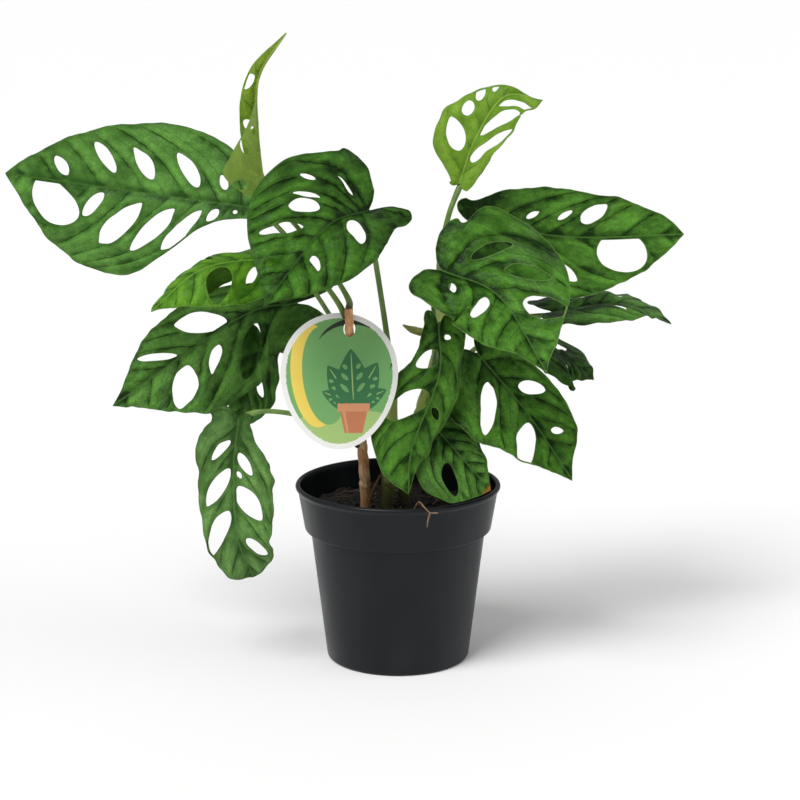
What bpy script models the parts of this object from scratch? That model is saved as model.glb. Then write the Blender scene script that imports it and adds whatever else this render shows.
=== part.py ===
"""A potted Swiss cheese vine: fifteen perforated leaves on three stems in a black nursery pot.

Origin at the middle of the pot's foot, +Z up, the plant's front towards -Y. Sizes are in
millimetres and become metres when a mesh is made.
"""

import math
from dataclasses import dataclass

import bmesh
import bpy
import numpy as np
from mathutils import Vector
from mathutils.geometry import delaunay_2d_cdt

MM = 0.001
SEAT_GAP = 0.3

# The nursery pot
POT_RADIUS = 60.0
POT_HEIGHT = 105.0
POT_FOOT_RADIUS = 42.0
POT_FOOT_ROUND = 3.0
STEP_RADIUS = 51.2
BAND_RADIUS = 54.8
BAND_BOTTOM = 78.0
BAND_ROUND = 0.8
NECK_RADIUS = 58.4
NECK_HEIGHT = 101.0
POT_WALL = 1.2
POT_FLOOR = 1.6
LIP_RADIUS = 1.5
LIP_POINTS = 6
POT_SIDES = 48
DRAIN_HOLES = 6
DRAIN_TURN = 0.57
DRAIN_PLACE = 28.0
DRAIN_RADIUS = 4.5
DRAIN_SIDES = 16

# The soil
SOIL_HEIGHT = 90.0
SOIL_GAP = 0.5
SOIL_EDGE = 2.5
SOIL_RINGS = (47.0, 37.0, 26.0, 13.5)
SOIL_BUMP = 1.2
SOIL_RIPPLE = 0.9
STEM_HOLE_GAP = 0.4

# Blades
BLADE_THICKNESS = 0.8
RIB_DEPTH = 1.1
LOBE_POINTS = 6
SIDE_POINTS = 11
HOLE_POINTS = 9
RIB_SPACING = 14.0
INNER_SPACING = 13.0
MERGE = 1e-6
WELD = 0.00002

# Petioles and stems
TUBE_STEPS = 3
STALK_SIDES = 7
STALK_SINK = 8.0
STALK_END = 0.45
STALK_FLARE = 1.3
FOOT_GAP = 0.4
STEM_SIDES = 12

# The bud on the right stem
BUD_JOINT = 192.0
BUD_LINE = ((14, 2, 194), (8, -1, 196), (3, -3, 199))
BUD_RADII = (1.7, 2.4, 1.9, 0.6)

# The plant tag, hung by its slot
TAG_WIDTH = 65.0
TAG_HEIGHT = 76.0
TAG_THICKNESS = 0.8
TAG_TAPER = 0.12
TAG_POINTS = 40
TAG_SLOT = (6.6, 9.0)
TAG_SLOT_POINTS = 14
TAG_SLOT_PLACE = (5.6, 29.0)
TAG_SLOT_AT = (-27.0, -39.4, 203.8)
TAG_LEAN = 15.0

# Finishes: name, colour and roughness
LEAF_FINISHES = {
    "deep": ("deep green leaf", (0.022, 0.085, 0.02), 0.4),
    "mid": ("green leaf", (0.045, 0.16, 0.03), 0.4),
    "bright": ("bright green leaf", (0.07, 0.22, 0.03), 0.38),
    "young": ("young leaf", (0.16, 0.33, 0.05), 0.4),
}
STEM_FINISHES = {
    "wood": ("woody stem", (0.35, 0.22, 0.12), 0.7),
    "green": ("green stem", (0.18, 0.26, 0.06), 0.5),
}


@dataclass
class Half:
    """One half of a blade, from the rib out to its margin.

    width is the widest reach from the rib and lobe the reach behind the petiole (mm); widest is
    the place of the widest point and shoulder the width beside the petiole, both as shares; fold
    is the rise at the rib and curl the further turn by the margin (degrees, up positive). taper
    above 1 draws the tip out and lean is how far the side veins run forward on their way out. A
    hole is (place on the rib, inner end, outer end, width in mm), its ends as shares of the width.
    """

    width: float
    widest: float = 0.36
    shoulder: float = 0.72
    lobe: float = 12.0
    fold: float = 8.0
    curl: float = -16.0
    taper: float = 1.2
    lean: float = 0.75
    holes: tuple = ()


@dataclass
class Leaf:
    """A blade with its petiole.

    rib is the line of the blade's rib, petiole end to tip, and face and tip_face are the ways
    that the blade looks at those ends. The petiole leaves the named stem at the height joint, or
    goes on from the stem's tip, and passes through its own points to the rib. stalk is its radius,
    wave the ripple at the margin and waves how often that comes along the rib.
    """

    name: str
    rib: tuple
    face: tuple
    stem: str
    petiole: tuple
    left: Half
    right: Half
    joint: float = None
    stalk: float = 1.45
    tip_face: tuple = None
    tone: str = "mid"
    wave: float = 1.2
    waves: float = 3.0
    solver: str = "EXACT"


@dataclass
class Stem:
    """A stem standing in the soil: its centre line and the radii spread evenly along it."""

    line: tuple
    radii: tuple
    tone: str


STEMS = {
    "stem_left": Stem(
        line=(
            (-19, -1, 66),
            (-19, -1, 82),
            (-19, -1, 98),
            (-20, -5, 120),
            (-23, -16, 150),
            (-26, -28, 185),
            (-27, -36, 200),
            (-27, -42, 207),
            (-27, -43, 216),
        ),
        radii=(3.2, 3.1, 2.9, 2.6, 2.3),
        tone="wood",
    ),
    "stem_middle": Stem(
        line=((-6, 1, 66), (-6, 1, 82), (-6, 1, 98), (-5, 1, 120), (-4, 1, 145), (-3, 2, 166)),
        radii=(3.8, 3.8, 3.7, 3.0),
        tone="green",
    ),
    "stem_right": Stem(
        line=(
            (4, 6, 66),
            (4, 6, 82),
            (4, 6, 98),
            (6, 6, 120),
            (13, 6, 145),
            (20, 6, 168),
            (24, 5, 190),
            (24, 5, 207),
        ),
        radii=(3.8, 3.8, 3.6, 3.2, 2.5),
        tone="green",
    ),
}

LEAVES = (
    Leaf(
        "leaf_left_long",
        rib=((-82, -18, 269), (-152, 0, 276), (-226, 18, 284)),
        face=(-0.15, -0.85, 0.5),
        tip_face=(-0.25, -0.95, 0.0),
        stem="stem_left",
        joint=211,
        petiole=((-37, -38, 224), (-62, -28, 254), (-76, -20, 266)),
        left=Half(
            50, widest=0.53, shoulder=0.15, lobe=3, fold=7, curl=-38, taper=1.1,
            holes=(
                (0.05, 0.06, 0.11, 3), (0.11, 0.08, 0.24, 5), (0.16, 0.18, 0.6, 9), (0.26, 0.16, 0.64, 10),
                (0.39, 0.17, 0.68, 12), (0.57, 0.07, 0.34, 7), (0.7, 0.06, 0.5, 21),
            ),
        ),
        right=Half(
            40, widest=0.3, shoulder=0.5, lobe=5, fold=10, curl=-8, taper=0.9,
            holes=(
                (0.08, 0.2, 0.4, 5), (0.18, 0.18, 0.62, 8), (0.35, 0.22, 0.62, 8), (0.5, 0.22, 0.6, 7),
                (0.72, 0.1, 0.36, 7),
            ),
        ),
    ),
    Leaf(
        "leaf_left_furled",
        rib=((-74, -22, 279), (-78, -19, 312), (-77, -22, 342), (-61, -22, 366)),
        face=(-1.0, -0.2, 0.0),
        tip_face=(0.4, -1.0, 0.3),
        stem="stem_left",
        petiole=((-28, -41, 222), (-42, -34, 243), (-62, -26, 266)),
        tone="young",
        left=Half(
            20, widest=0.17, shoulder=0.6, lobe=3, fold=78, curl=18, taper=1.0,
            holes=((0.3, 0.3, 0.6, 4),),
        ),
        right=Half(
            25, widest=0.2, shoulder=0.5, lobe=2, fold=70, curl=10, taper=1.0,
            holes=((0.08, 0.3, 0.6, 6), (0.25, 0.15, 0.45, 4), (0.48, 0.2, 0.5, 4)),
        ),
        wave=0.3,
        solver="MANIFOLD",
    ),
    Leaf(
        "leaf_front_left",
        rib=((-16, -21, 268), (-40, -52, 262), (-71, -89, 226)),
        face=(0.45, -0.45, 0.75),
        tip_face=(-0.3, -0.5, 0.8),
        stem="stem_middle",
        petiole=((-4, 1, 174), (-8, -4, 205), (-13, -12, 240)),
        stalk=1.7,
        tone="deep",
        left=Half(
            36, widest=0.44, shoulder=0.55, lobe=21, fold=25, curl=-57, taper=0.5,
            holes=((0.19, 0.26, 0.66, 10), (0.56, 0.2, 0.5, 5)),
        ),
        right=Half(
            44, widest=0.32, shoulder=0.9, lobe=15, fold=18, curl=-2, taper=1.3,
            holes=(
                (0.04, 0.25, 0.55, 3), (0.08, 0.6, 0.75, 3), (0.16, 0.36, 0.58, 3), (0.25, 0.26, 0.52, 7),
                (0.41, 0.22, 0.56, 6), (0.67, 0.15, 0.34, 5),
            ),
        ),
    ),
    Leaf(
        "leaf_left_folded",
        rib=((-71, -13, 240), (-109, -28, 236), (-138, -35, 213)),
        face=(-0.05, -0.15, 1.0),
        tip_face=(-0.6, 0.1, 0.75),
        stem="stem_left",
        joint=190,
        petiole=((-36, -20, 204), (-54, -10, 228)),
        tone="bright",
        left=Half(
            27, widest=0.45, shoulder=0.8, lobe=12, fold=-50, curl=-14, taper=1.4,
            holes=((0.1, 0.2, 0.6, 5), (0.34, 0.22, 0.8, 16)),
        ),
        right=Half(
            44, widest=0.42, shoulder=0.8, lobe=12, fold=22, curl=-50, taper=1.1,
            holes=((0.35, 0.15, 0.4, 5),),
        ),
    ),
    Leaf(
        "leaf_left_low",
        rib=((-60, 30, 206), (-94, 36, 196), (-171, 38, 142)),
        face=(-0.25, -0.85, 0.45),
        tip_face=(-0.25, -0.95, 0.3),
        stem="stem_middle",
        joint=152,
        petiole=((-25, 18, 180), (-46, 27, 200)),
        tone="deep",
        left=Half(
            45, widest=0.4, shoulder=0.6, lobe=16, fold=13, curl=-12, taper=1.2,
            holes=((0.15, 0.25, 0.8, 13), (0.37, 0.18, 0.5, 7), (0.54, 0.2, 0.62, 17)),
        ),
        right=Half(
            25, widest=0.52, shoulder=0.3, lobe=24, fold=15, curl=-5, taper=1.4, lean=1.8,
            holes=((0.28, 0.12, 0.75, 9), (0.55, 0.12, 0.5, 5)),
        ),
    ),
    Leaf(
        "leaf_left_behind",
        rib=((-81, 34, 180), (-88, 32, 158), (-97, 27, 131)),
        face=(-0.55, -0.8, 0.25),
        stem="stem_middle",
        joint=132,
        petiole=((-32, 24, 150), (-60, 36, 172)),
        left=Half(
            25, widest=0.6, shoulder=0.75, lobe=10, fold=14, curl=-6, taper=1.0,
            holes=((0.3, 0.2, 0.6, 5),),
        ),
        right=Half(
            20, widest=0.36, shoulder=0.72, lobe=10, fold=8, curl=-16, taper=1.2,
            holes=((0.4, 0.3, 0.6, 4),),
        ),
    ),
    Leaf(
        "leaf_left_hanging",
        rib=((-90, -34, 151), (-94, -26, 120), (-92, -33, 82), (-84, -20, 53)),
        face=(-0.15, -0.95, 0.2),
        stem="stem_left",
        joint=130,
        petiole=((-40, -24, 146), (-61, -33, 154), (-78, -37, 156)),
        left=Half(
            23, widest=0.42, shoulder=0.3, lobe=5, fold=12, curl=-35, taper=0.6, lean=0.9,
            holes=((0.24, 0.15, 0.5, 6), (0.46, 0.15, 0.68, 9), (0.7, 0.2, 0.6, 8)),
        ),
        right=Half(
            21, widest=0.15, shoulder=0.75, lobe=8, fold=22, curl=-10, taper=0.5,
            holes=((0.17, 0.2, 0.6, 6), (0.35, 0.18, 0.74, 9), (0.57, 0.18, 0.76, 9)),
        ),
    ),
    Leaf(
        "leaf_right_young",
        rib=((35, 4, 280), (44, 0, 306), (60, 2, 329), (82, 6, 327)),
        face=(-0.45, -0.85, 0.2),
        tip_face=(0.0, -0.7, 0.7),
        stem="stem_right",
        petiole=((24, 4, 214), (24, 2, 236), (29, 2, 262)),
        stalk=1.6,
        tone="young",
        left=Half(
            30, widest=0.2, shoulder=0.5, lobe=6, fold=8, curl=-35, taper=2.8,
            holes=(
                (0.17, 0.25, 0.66, 10), (0.36, 0.3, 0.5, 6), (0.48, 0.22, 0.4, 5), (0.6, 0.12, 0.26, 4),
            ),
        ),
        right=Half(
            25, widest=0.6, shoulder=0.35, lobe=3, fold=34, curl=-20, taper=0.9, lean=1.2,
            holes=((0.22, 0.16, 0.7, 7), (0.4, 0.14, 0.7, 8), (0.6, 0.15, 0.6, 6)),
        ),
    ),
    Leaf(
        "leaf_right_long",
        rib=((43, 21, 255), (102, 38, 244), (170, 50, 244)),
        face=(0.35, -0.85, 0.4),
        tip_face=(0.15, -0.85, 0.5),
        stem="stem_right",
        joint=196,
        petiole=((28, 14, 214), (35, 20, 238)),
        left=Half(
            31, widest=0.38, shoulder=0.43, lobe=10, fold=6, curl=-25, taper=0.7, lean=1.4,
            holes=((0.17, 0.25, 0.5, 4), (0.3, 0.3, 0.6, 4), (0.44, 0.2, 0.72, 8)),
        ),
        right=Half(
            39, widest=0.3, shoulder=0.72, lobe=12, fold=8, curl=-13, taper=0.9,
            holes=((0.36, 0.5, 0.7, 8), (0.62, 0.06, 0.5, 19)),
        ),
    ),
    Leaf(
        "leaf_front_right",
        rib=((24, -33, 236), (56, -44, 223), (80, -85, 189)),
        face=(0.05, -0.7, 0.7),
        tip_face=(0.2, -0.55, 0.8),
        stem="stem_right",
        joint=180,
        petiole=((21, -8, 200), (20, -24, 222)),
        left=Half(
            44, widest=0.17, shoulder=0.7, lobe=10, fold=15, curl=12, taper=1.4,
            holes=((0.08, 0.26, 0.68, 6), (0.2, 0.3, 0.66, 7), (0.44, 0.2, 0.6, 15)),
        ),
        right=Half(
            36, widest=0.5, shoulder=0.7, lobe=11, fold=17, curl=-28, taper=1.3,
            holes=((0.06, 0.2, 0.4, 4), (0.28, 0.22, 0.7, 9)),
        ),
    ),
    Leaf(
        "leaf_right_edge_on",
        rib=((93, 36, 200), (132, 44, 203), (164, 50, 190)),
        face=(-0.05, -0.15, 1.0),
        tip_face=(0.45, 0.0, 0.9),
        stem="stem_right",
        joint=162,
        petiole=((44, 18, 180), (70, 31, 196)),
        tone="deep",
        left=Half(
            36, widest=0.55, shoulder=0.73, lobe=12, fold=17, curl=-50, taper=1.0,
            holes=((0.15, 0.3, 0.6, 5), (0.42, 0.3, 0.6, 5)),
        ),
        right=Half(
            28, widest=0.34, shoulder=0.9, lobe=12, fold=16, curl=-42, taper=1.4,
            holes=((0.35, 0.3, 0.55, 4),),
        ),
    ),
    Leaf(
        "leaf_right_behind",
        rib=((84, 40, 176), (102, 58, 167), (119, 58, 154)),
        face=(0.65, -0.25, 0.7),
        tip_face=(0.4, -0.4, 0.8),
        stem="stem_right",
        joint=140,
        petiole=((40, 26, 158), (64, 38, 172)),
        tone="deep",
        left=Half(
            30, widest=0.42, shoulder=0.72, lobe=10, fold=0, curl=-26, taper=1.0,
            holes=((0.35, 0.2, 0.5, 5),),
        ),
        right=Half(
            27, widest=0.39, shoulder=0.72, lobe=10, fold=2, curl=-18, taper=1.1,
            holes=((0.3, 0.3, 0.6, 5),),
        ),
    ),
    Leaf(
        "leaf_right_low",
        rib=((46, -1, 182), (74, -13, 150), (99, -37, 116)),
        face=(0.2, -0.9, 0.45),
        tip_face=(0.2, -0.65, 0.7),
        stem="stem_right",
        joint=152,
        petiole=((30, -2, 168), (40, -1, 180)),
        left=Half(
            23, widest=0.5, shoulder=0.7, lobe=12, fold=13, curl=-3, taper=1.3,
            holes=((0.27, 0.22, 0.74, 9), (0.6, 0.25, 0.5, 5)),
        ),
        right=Half(
            41, widest=0.24, shoulder=0.75, lobe=12, fold=13, curl=-10, taper=1.0,
            holes=((0.13, 0.16, 0.7, 10), (0.5, 0.08, 0.5, 14)),
        ),
    ),
    Leaf(
        "leaf_middle",
        rib=((23, -29, 203), (23, -38, 177), (8, -50, 138), (6, -56, 113)),
        face=(-0.1, -0.95, 0.1),
        tip_face=(0.45, -0.85, 0.3),
        stem="stem_right",
        joint=168,
        petiole=((22, -10, 188), (24, -22, 203)),
        left=Half(
            14, widest=0.43, shoulder=1.0, lobe=10, fold=2, curl=-45, taper=1.3,
            holes=((0.05, 0.2, 0.45, 3), (0.45, 0.2, 0.6, 4)),
        ),
        right=Half(
            25, widest=0.6, shoulder=0.35, lobe=10, fold=-4, curl=-12, taper=0.7,
            holes=((0.12, 0.16, 0.42, 9), (0.4, 0.18, 0.55, 14)),
        ),
    ),
    Leaf(
        "leaf_on_rim",
        rib=((20, -19, 144), (36, -31, 128), (53, -33, 109)),
        face=(0.05, -0.8, 0.5),
        tip_face=(0.5, -0.6, 0.6),
        stem="stem_right",
        joint=122,
        petiole=((12, -8, 138), (17, -15, 147)),
        left=Half(
            16, widest=0.4, shoulder=0.74, lobe=10, fold=11, curl=-25, taper=1.1,
            holes=((0.35, 0.3, 0.6, 3),),
        ),
        right=Half(
            38, widest=0.55, shoulder=0.3, lobe=6, fold=11, curl=-13, taper=0.9,
            holes=((0.03, 0.4, 0.6, 4), (0.24, 0.3, 0.62, 12)),
        ),
    ),
)


def unit(vectors):
    """The same vectors at length 1, row by row."""
    vectors = np.asarray(vectors, float)
    return vectors / np.linalg.norm(vectors, axis=-1, keepdims=True)


def smooth_line(points, steps=16):
    """A rounded line through the points: a Catmull-Rom curve with its ends carried on."""
    points = np.asarray(points, float)
    ends = np.vstack([2 * points[0] - points[1], points, 2 * points[-1] - points[-2]])
    line = [points[0]]
    for before, start, stop, after in zip(ends, ends[1:], ends[2:], ends[3:]):
        for t in np.linspace(0, 1, steps + 1)[1:]:
            line.append(
                0.5
                * (
                    2 * start
                    + (stop - before) * t
                    + (2 * before - 5 * start + 4 * stop - after) * t**2
                    + (3 * start - before - 3 * stop + after) * t**3
                )
            )
    return np.array(line)


class Blade:
    """The surface of one leaf: flat places (along the rib, across it) turned into space."""

    def __init__(self, leaf):
        self.leaf = leaf
        line = smooth_line(leaf.rib)
        steps = np.linalg.norm(np.diff(line, axis=0), axis=1)
        self.stations = np.concatenate([[0], np.cumsum(steps)])
        self.length = self.stations[-1]
        self.line = line
        self.ahead = unit(np.gradient(line, self.stations, axis=0))
        share = (self.stations / self.length)[:, None]
        face = unit(leaf.face)
        tip_face = unit(leaf.tip_face) if leaf.tip_face else face
        turned = (1 - share) * face + share * tip_face
        turned -= (turned * self.ahead).sum(1, keepdims=True) * self.ahead
        self.up = unit(turned)

    def read(self, values, along):
        """values, known at the stations, at other places on the rib."""
        inside = np.clip(along, 0, self.length)
        return np.stack([np.interp(inside, self.stations, values[:, i]) for i in range(3)], 1)

    def place(self, along, across, lift=0.0):
        """Points in space for flat places; across is positive to the left, lift above the face."""
        along, across = np.broadcast_arrays(np.asarray(along, float), np.asarray(across, float))
        ahead = unit(self.read(self.ahead, along))
        up = unit(self.read(self.up, along))
        beyond = along - np.clip(along, 0, self.length)
        centre = self.read(self.line, along) + ahead * beyond[:, None]
        side = np.cross(up, ahead)
        left = across >= 0
        halves = (self.leaf.left, self.leaf.right)
        width = np.where(left, halves[0].width, halves[1].width)
        fold = np.radians(np.where(left, halves[0].fold, halves[1].fold))
        curl = np.radians(np.where(left, halves[0].curl, halves[1].curl)) / width
        reach = np.abs(across)
        turn = fold + curl * reach
        out = (np.sin(turn) - np.sin(fold)) / curl
        rise = (np.cos(fold) - np.cos(turn)) / curl
        sign = np.where(left, 1.0, -1.0)
        normal = up * np.cos(turn)[:, None] - side * (sign * np.sin(turn))[:, None]
        phase = 2 * math.pi * self.leaf.waves * along / self.length + (1 - sign) * 0.9
        ripple = self.leaf.wave * (reach / width) ** 2 * np.sin(phase)
        return (
            centre
            + side * (sign * out)[:, None]
            + up * rise[:, None]
            + normal * (ripple + lift)[:, None]
        )

    def margin(self, half):
        """The flat outline of one half, from the tip back to the petiole, as (along, across)."""
        ahead = np.linspace(1, 0, SIDE_POINTS, endpoint=False)[1:] ** 0.85
        spread = []
        for t in ahead:
            if t > half.widest:
                share = ((t - half.widest) / (1 - half.widest)) ** 1.25
                reach = math.cos(math.pi / 2 * share) ** half.taper
            else:
                grow = math.sin(math.pi / 2 * t / half.widest)
                reach = half.shoulder + (1 - half.shoulder) * grow
            spread.append((t * self.length, reach * half.width))
        beside = half.shoulder * half.width
        for turn in np.linspace(0, math.pi, LOBE_POINTS, endpoint=False):
            back = -half.lobe * math.sin(turn)
            open_sinus = 0.15 * math.sin(turn)
            spread.append((back, beside * (0.5 + 0.5 * math.cos(turn) + open_sinus)))
        return spread

    def outline(self):
        """The whole flat outline: tip, left margin, petiole, right margin."""
        left = self.margin(self.leaf.left)
        right = [(a, -b) for a, b in reversed(self.margin(self.leaf.right))]
        return np.array([(self.length, 0.0), *left, (0.0, 0.0), *right])

    def vein(self, half, start, reach):
        """How far along the rib's direction a side vein has come, at a share of the width."""
        lean = half.lean - 1.3 * math.exp(-start / 0.05)
        return start * self.length + half.width * (lean * reach + 0.2 * reach**2)

    def hole(self, half, spec, sign):
        """The flat outline of one hole, drawn out along its side vein."""
        start, inner, outer, width = spec
        ring = []
        middle = np.linspace(inner, outer, 3)
        line = smooth_line(
            [(self.vein(half, start, r), half.width * r, 0.0) for r in middle], 12
        )
        steps = np.linalg.norm(np.diff(line, axis=0), axis=1)
        gone = np.concatenate([[0], np.cumsum(steps)])
        slope = unit(np.gradient(line, axis=0))
        for turn in np.linspace(0, 2 * math.pi, HOLE_POINTS, endpoint=False):
            at = (1 - math.cos(turn)) / 2 * gone[-1]
            spot = [np.interp(at, gone, line[:, i]) for i in range(2)]
            way = [np.interp(at, gone, slope[:, i]) for i in range(2)]
            off = width / 2 * math.sin(turn)
            ring.append((spot[0] - way[1] * off, (spot[1] + way[0] * off) * sign))
        return np.array(ring)

    def holes(self):
        """The flat outlines of all the holes."""
        found = [self.hole(self.leaf.left, h, 1) for h in self.leaf.left.holes]
        return found + [self.hole(self.leaf.right, h, -1) for h in self.leaf.right.holes]


def frames(line):
    """A side and an up direction for every point of a line, turned as little as possible."""
    ahead = unit(np.gradient(line, axis=0))
    start = np.array([0.0, 1.0, 0.0]) if abs(ahead[0][1]) < 0.9 else np.array([1.0, 0.0, 0.0])
    sides = [unit(np.cross(ahead[0], start))]
    for way in ahead[1:]:
        sides.append(unit(sides[-1] - np.dot(sides[-1], way) * way))
    sides = np.array(sides)
    return sides, np.cross(ahead, sides)


def tube(points, radii, sides, steps=TUBE_STEPS):
    """A closed round tube through the points, its radius given at each of them."""
    line = smooth_line(points, steps)
    places = np.linspace(0, 1, len(line))
    radius = np.interp(places, np.linspace(0, 1, len(radii)), radii)
    side, up = frames(line)
    verts = []
    for centre, r, s, u in zip(line, radius, side, up):
        for turn in np.linspace(0, 2 * math.pi, sides, endpoint=False):
            verts.append(centre + r * (math.cos(turn) * s + math.sin(turn) * u))
    faces = []
    for ring in range(len(line) - 1):
        for i in range(sides):
            j = (i + 1) % sides
            low, high = ring * sides, (ring + 1) * sides
            faces.append((low + i, low + j, high + j, high + i))
    faces.append(tuple(reversed(range(sides))))
    faces.append(tuple(range((len(line) - 1) * sides, len(line) * sides)))
    return np.array(verts), faces


def inside(ring, spots):
    """Which of the flat spots lie inside the flat ring."""
    found = np.zeros(len(spots), bool)
    for (x1, y1), (x2, y2) in zip(ring, np.roll(ring, -1, axis=0)):
        crosses = (y1 > spots[:, 1]) != (y2 > spots[:, 1])
        rise = y2 - y1 if y2 != y1 else 1.0
        found ^= crosses & (spots[:, 0] < (x2 - x1) * (spots[:, 1] - y1) / rise + x1)
    return found


def nearest(spots, others):
    """The distance from each flat spot to the nearest of the others."""
    return np.linalg.norm(spots[:, None] - others, axis=2).min(1)


def filled(blade):
    """The blade's flat triangles: the spots, the triangles, and how many spots are on the rib."""
    rings = [blade.outline(), *blade.holes()]
    ribs = int(blade.length / RIB_SPACING)
    rib = np.stack([np.linspace(0, blade.length, ribs + 2)[1:-1], np.zeros(ribs)], 1)
    edges = []
    count = 0
    for ring in rings:
        edges += [(count + i, count + (i + 1) % len(ring)) for i in range(len(ring))]
        count += len(ring)
    petiole = len(blade.margin(blade.leaf.left)) + 1
    chain = [petiole, *range(count, count + ribs), 0]
    edges += list(zip(chain, chain[1:]))
    drawn = np.vstack([*rings, rib])
    low, high = drawn.min(0), drawn.max(0)
    rows = np.arange(low[1], high[1], INNER_SPACING * math.sqrt(0.75))
    grid = [
        (a + (i % 2) * INNER_SPACING / 2, b)
        for i, b in enumerate(rows)
        for a in np.arange(low[0], high[0], INNER_SPACING)
    ]
    grid = np.array(grid)
    grid = grid[inside(rings[0], grid) & (nearest(grid, drawn) > INNER_SPACING * 0.45)]
    for hole in rings[1:]:
        grid = grid[~inside(hole, grid)]
    spots = np.vstack([drawn, grid])
    given = [Vector((float(a), float(b))) for a, b in spots]
    made, _, faces, *_ = delaunay_2d_cdt(given, edges, [], 0, MERGE)
    made = np.array([(v[0], v[1]) for v in made])
    faces = np.array([tuple(f) for f in faces])
    middles = made[faces].mean(1)
    keep = inside(rings[0], middles)
    for hole in rings[1:]:
        keep &= ~inside(hole, middles)
    return made, faces[keep]


def blade_solid(leaf):
    """One blade as a thin closed solid, both faces in the same triangles, ribbed underneath."""
    blade = Blade(leaf)
    spots, faces = filled(blade)
    along, across = spots[:, 0], spots[:, 1]
    keel = np.where(np.abs(across) < MERGE, RIB_DEPTH * (1 - 0.6 * along / blade.length), 0.0)
    top = blade.place(along, across, BLADE_THICKNESS / 2)
    under = blade.place(along, across, -BLADE_THICKNESS / 2 - keel)
    count = len(spots)
    turn = np.cross(spots[faces[:, 1]] - spots[faces[:, 0]], spots[faces[:, 2]] - spots[faces[:, 0]])
    faces = np.where((turn > 0)[:, None], faces, faces[:, ::-1])
    solid = [tuple(int(i) for i in f) for f in faces]
    solid += [tuple(int(i) + count for i in f[::-1]) for f in faces]
    loops = {(int(f[i]), int(f[(i + 1) % 3])) for f in faces for i in range(3)}
    for a, b in sorted(loops):
        if (b, a) not in loops:
            solid.append((b, a, a + count))
            solid.append((b, a + count, b + count))
    return np.vstack([top, under]), solid


def foot(stem, joint, towards, radius):
    """The first point of a piece of this radius that grows from a stem, just clear of its bark."""
    line = smooth_line(stem.line)
    ahead = unit(np.gradient(line, axis=0))
    if joint is None:
        spot, out, bark = line[-1], ahead[-1], 0.0
    else:
        at = np.interp(joint, line[:, 2], np.arange(len(line)))
        near = int(round(at))
        spot = line[near]
        way = np.array(towards) - spot
        out = unit(way - np.dot(way, ahead[near]) * ahead[near])
        bark = np.interp(at / (len(line) - 1), np.linspace(0, 1, len(stem.radii)), stem.radii)
    heading = unit(np.array(towards) - spot - out * bark)
    tilt = math.sqrt(max(1 - np.dot(heading, out) ** 2, 0.0))
    return spot + out * (bark + FOOT_GAP + radius * tilt)


def stalk_solid(leaf):
    """One petiole: from its foot at the stem to a slim end sunk in the blade's rib."""
    blade = Blade(leaf)
    root = leaf.stalk * STALK_FLARE
    start = foot(STEMS[leaf.stem], leaf.joint, leaf.petiole[0], root)
    knee = blade.place([0.0], [0.0], -leaf.stalk * 0.6)[0]
    end = blade.place([STALK_SINK], [0.0], -BLADE_THICKNESS / 2 - STALK_END)[0]
    points = [start, *leaf.petiole, knee, end]
    radii = [root] + [leaf.stalk] * (len(points) - 2) + [STALK_END]
    return tube(points, radii, STALK_SIDES)


def turned(profile, sides):
    """A closed solid turned about Z from an outline of (radius, height), both ends on the axis."""
    verts = []
    rings = []
    for radius, height in profile:
        if radius == 0:
            rings.append([len(verts)] * sides)
            verts.append((0.0, 0.0, height))
            continue
        rings.append(list(range(len(verts), len(verts) + sides)))
        for turn in np.linspace(0, 2 * math.pi, sides, endpoint=False):
            verts.append((radius * math.cos(turn), radius * math.sin(turn), height))
    faces = []
    for low, high in zip(rings, rings[1:]):
        for i in range(sides):
            j = (i + 1) % sides
            face = tuple(dict.fromkeys((low[i], low[j], high[j], high[i])))
            if len(face) > 2:
                faces.append(face)
    return np.array(verts), faces


def finish(name, colour, roughness, metallic=0.0):
    """A plain material of one colour."""
    material = bpy.data.materials.get(name) or bpy.data.materials.new(name)
    material.use_nodes = True
    shader = material.node_tree.nodes["Principled BSDF"]
    shader.inputs["Base Color"].default_value = (*colour, 1.0)
    shader.inputs["Roughness"].default_value = roughness
    shader.inputs["Metallic"].default_value = metallic
    material.diffuse_color = (*colour, 1.0)
    return material


def solid(name, verts, faces, material=None):
    """An object in the scene from points in millimetres, its faces turned out."""
    mesh = bpy.data.meshes.new(name)
    mesh.from_pydata([tuple(float(c) * MM for c in v) for v in verts], [], faces)
    work = bmesh.new()
    work.from_mesh(mesh)
    bmesh.ops.recalc_face_normals(work, faces=work.faces)
    work.to_mesh(mesh)
    work.free()
    thing = bpy.data.objects.new(name, mesh)
    bpy.context.scene.collection.objects.link(thing)
    if material:
        mesh.materials.append(material)
        mesh.shade_smooth()
        mesh.set_sharp_from_angle(angle=math.radians(40))
    return thing


def combine(thing, others, operation, solver="EXACT"):
    """Join the others to the thing or cut them from it, then remove them."""
    for other in others:
        change = thing.modifiers.new(operation.title(), "BOOLEAN")
        change.operation = operation
        change.solver = solver
        change.object = other
    bpy.context.view_layer.update()
    seen = thing.evaluated_get(bpy.context.evaluated_depsgraph_get())
    mesh = bpy.data.meshes.new_from_object(seen)
    work = bmesh.new()
    work.from_mesh(mesh)
    bmesh.ops.triangulate(work, faces=work.faces)
    bmesh.ops.remove_doubles(work, verts=work.verts, dist=WELD)
    bmesh.ops.dissolve_degenerate(work, edges=work.edges, dist=WELD)
    work.to_mesh(mesh)
    work.free()
    thing.modifiers.clear()
    thing.data = mesh
    for other in others:
        bpy.data.objects.remove(other)


def build_leaf(leaf):
    """One leaf: the blade with its petiole grown into the rib."""
    blade = solid(leaf.name, *blade_solid(leaf), finish(*LEAF_FINISHES[leaf.tone]))
    combine(blade, [solid("petiole", *stalk_solid(leaf))], "UNION", leaf.solver)


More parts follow.
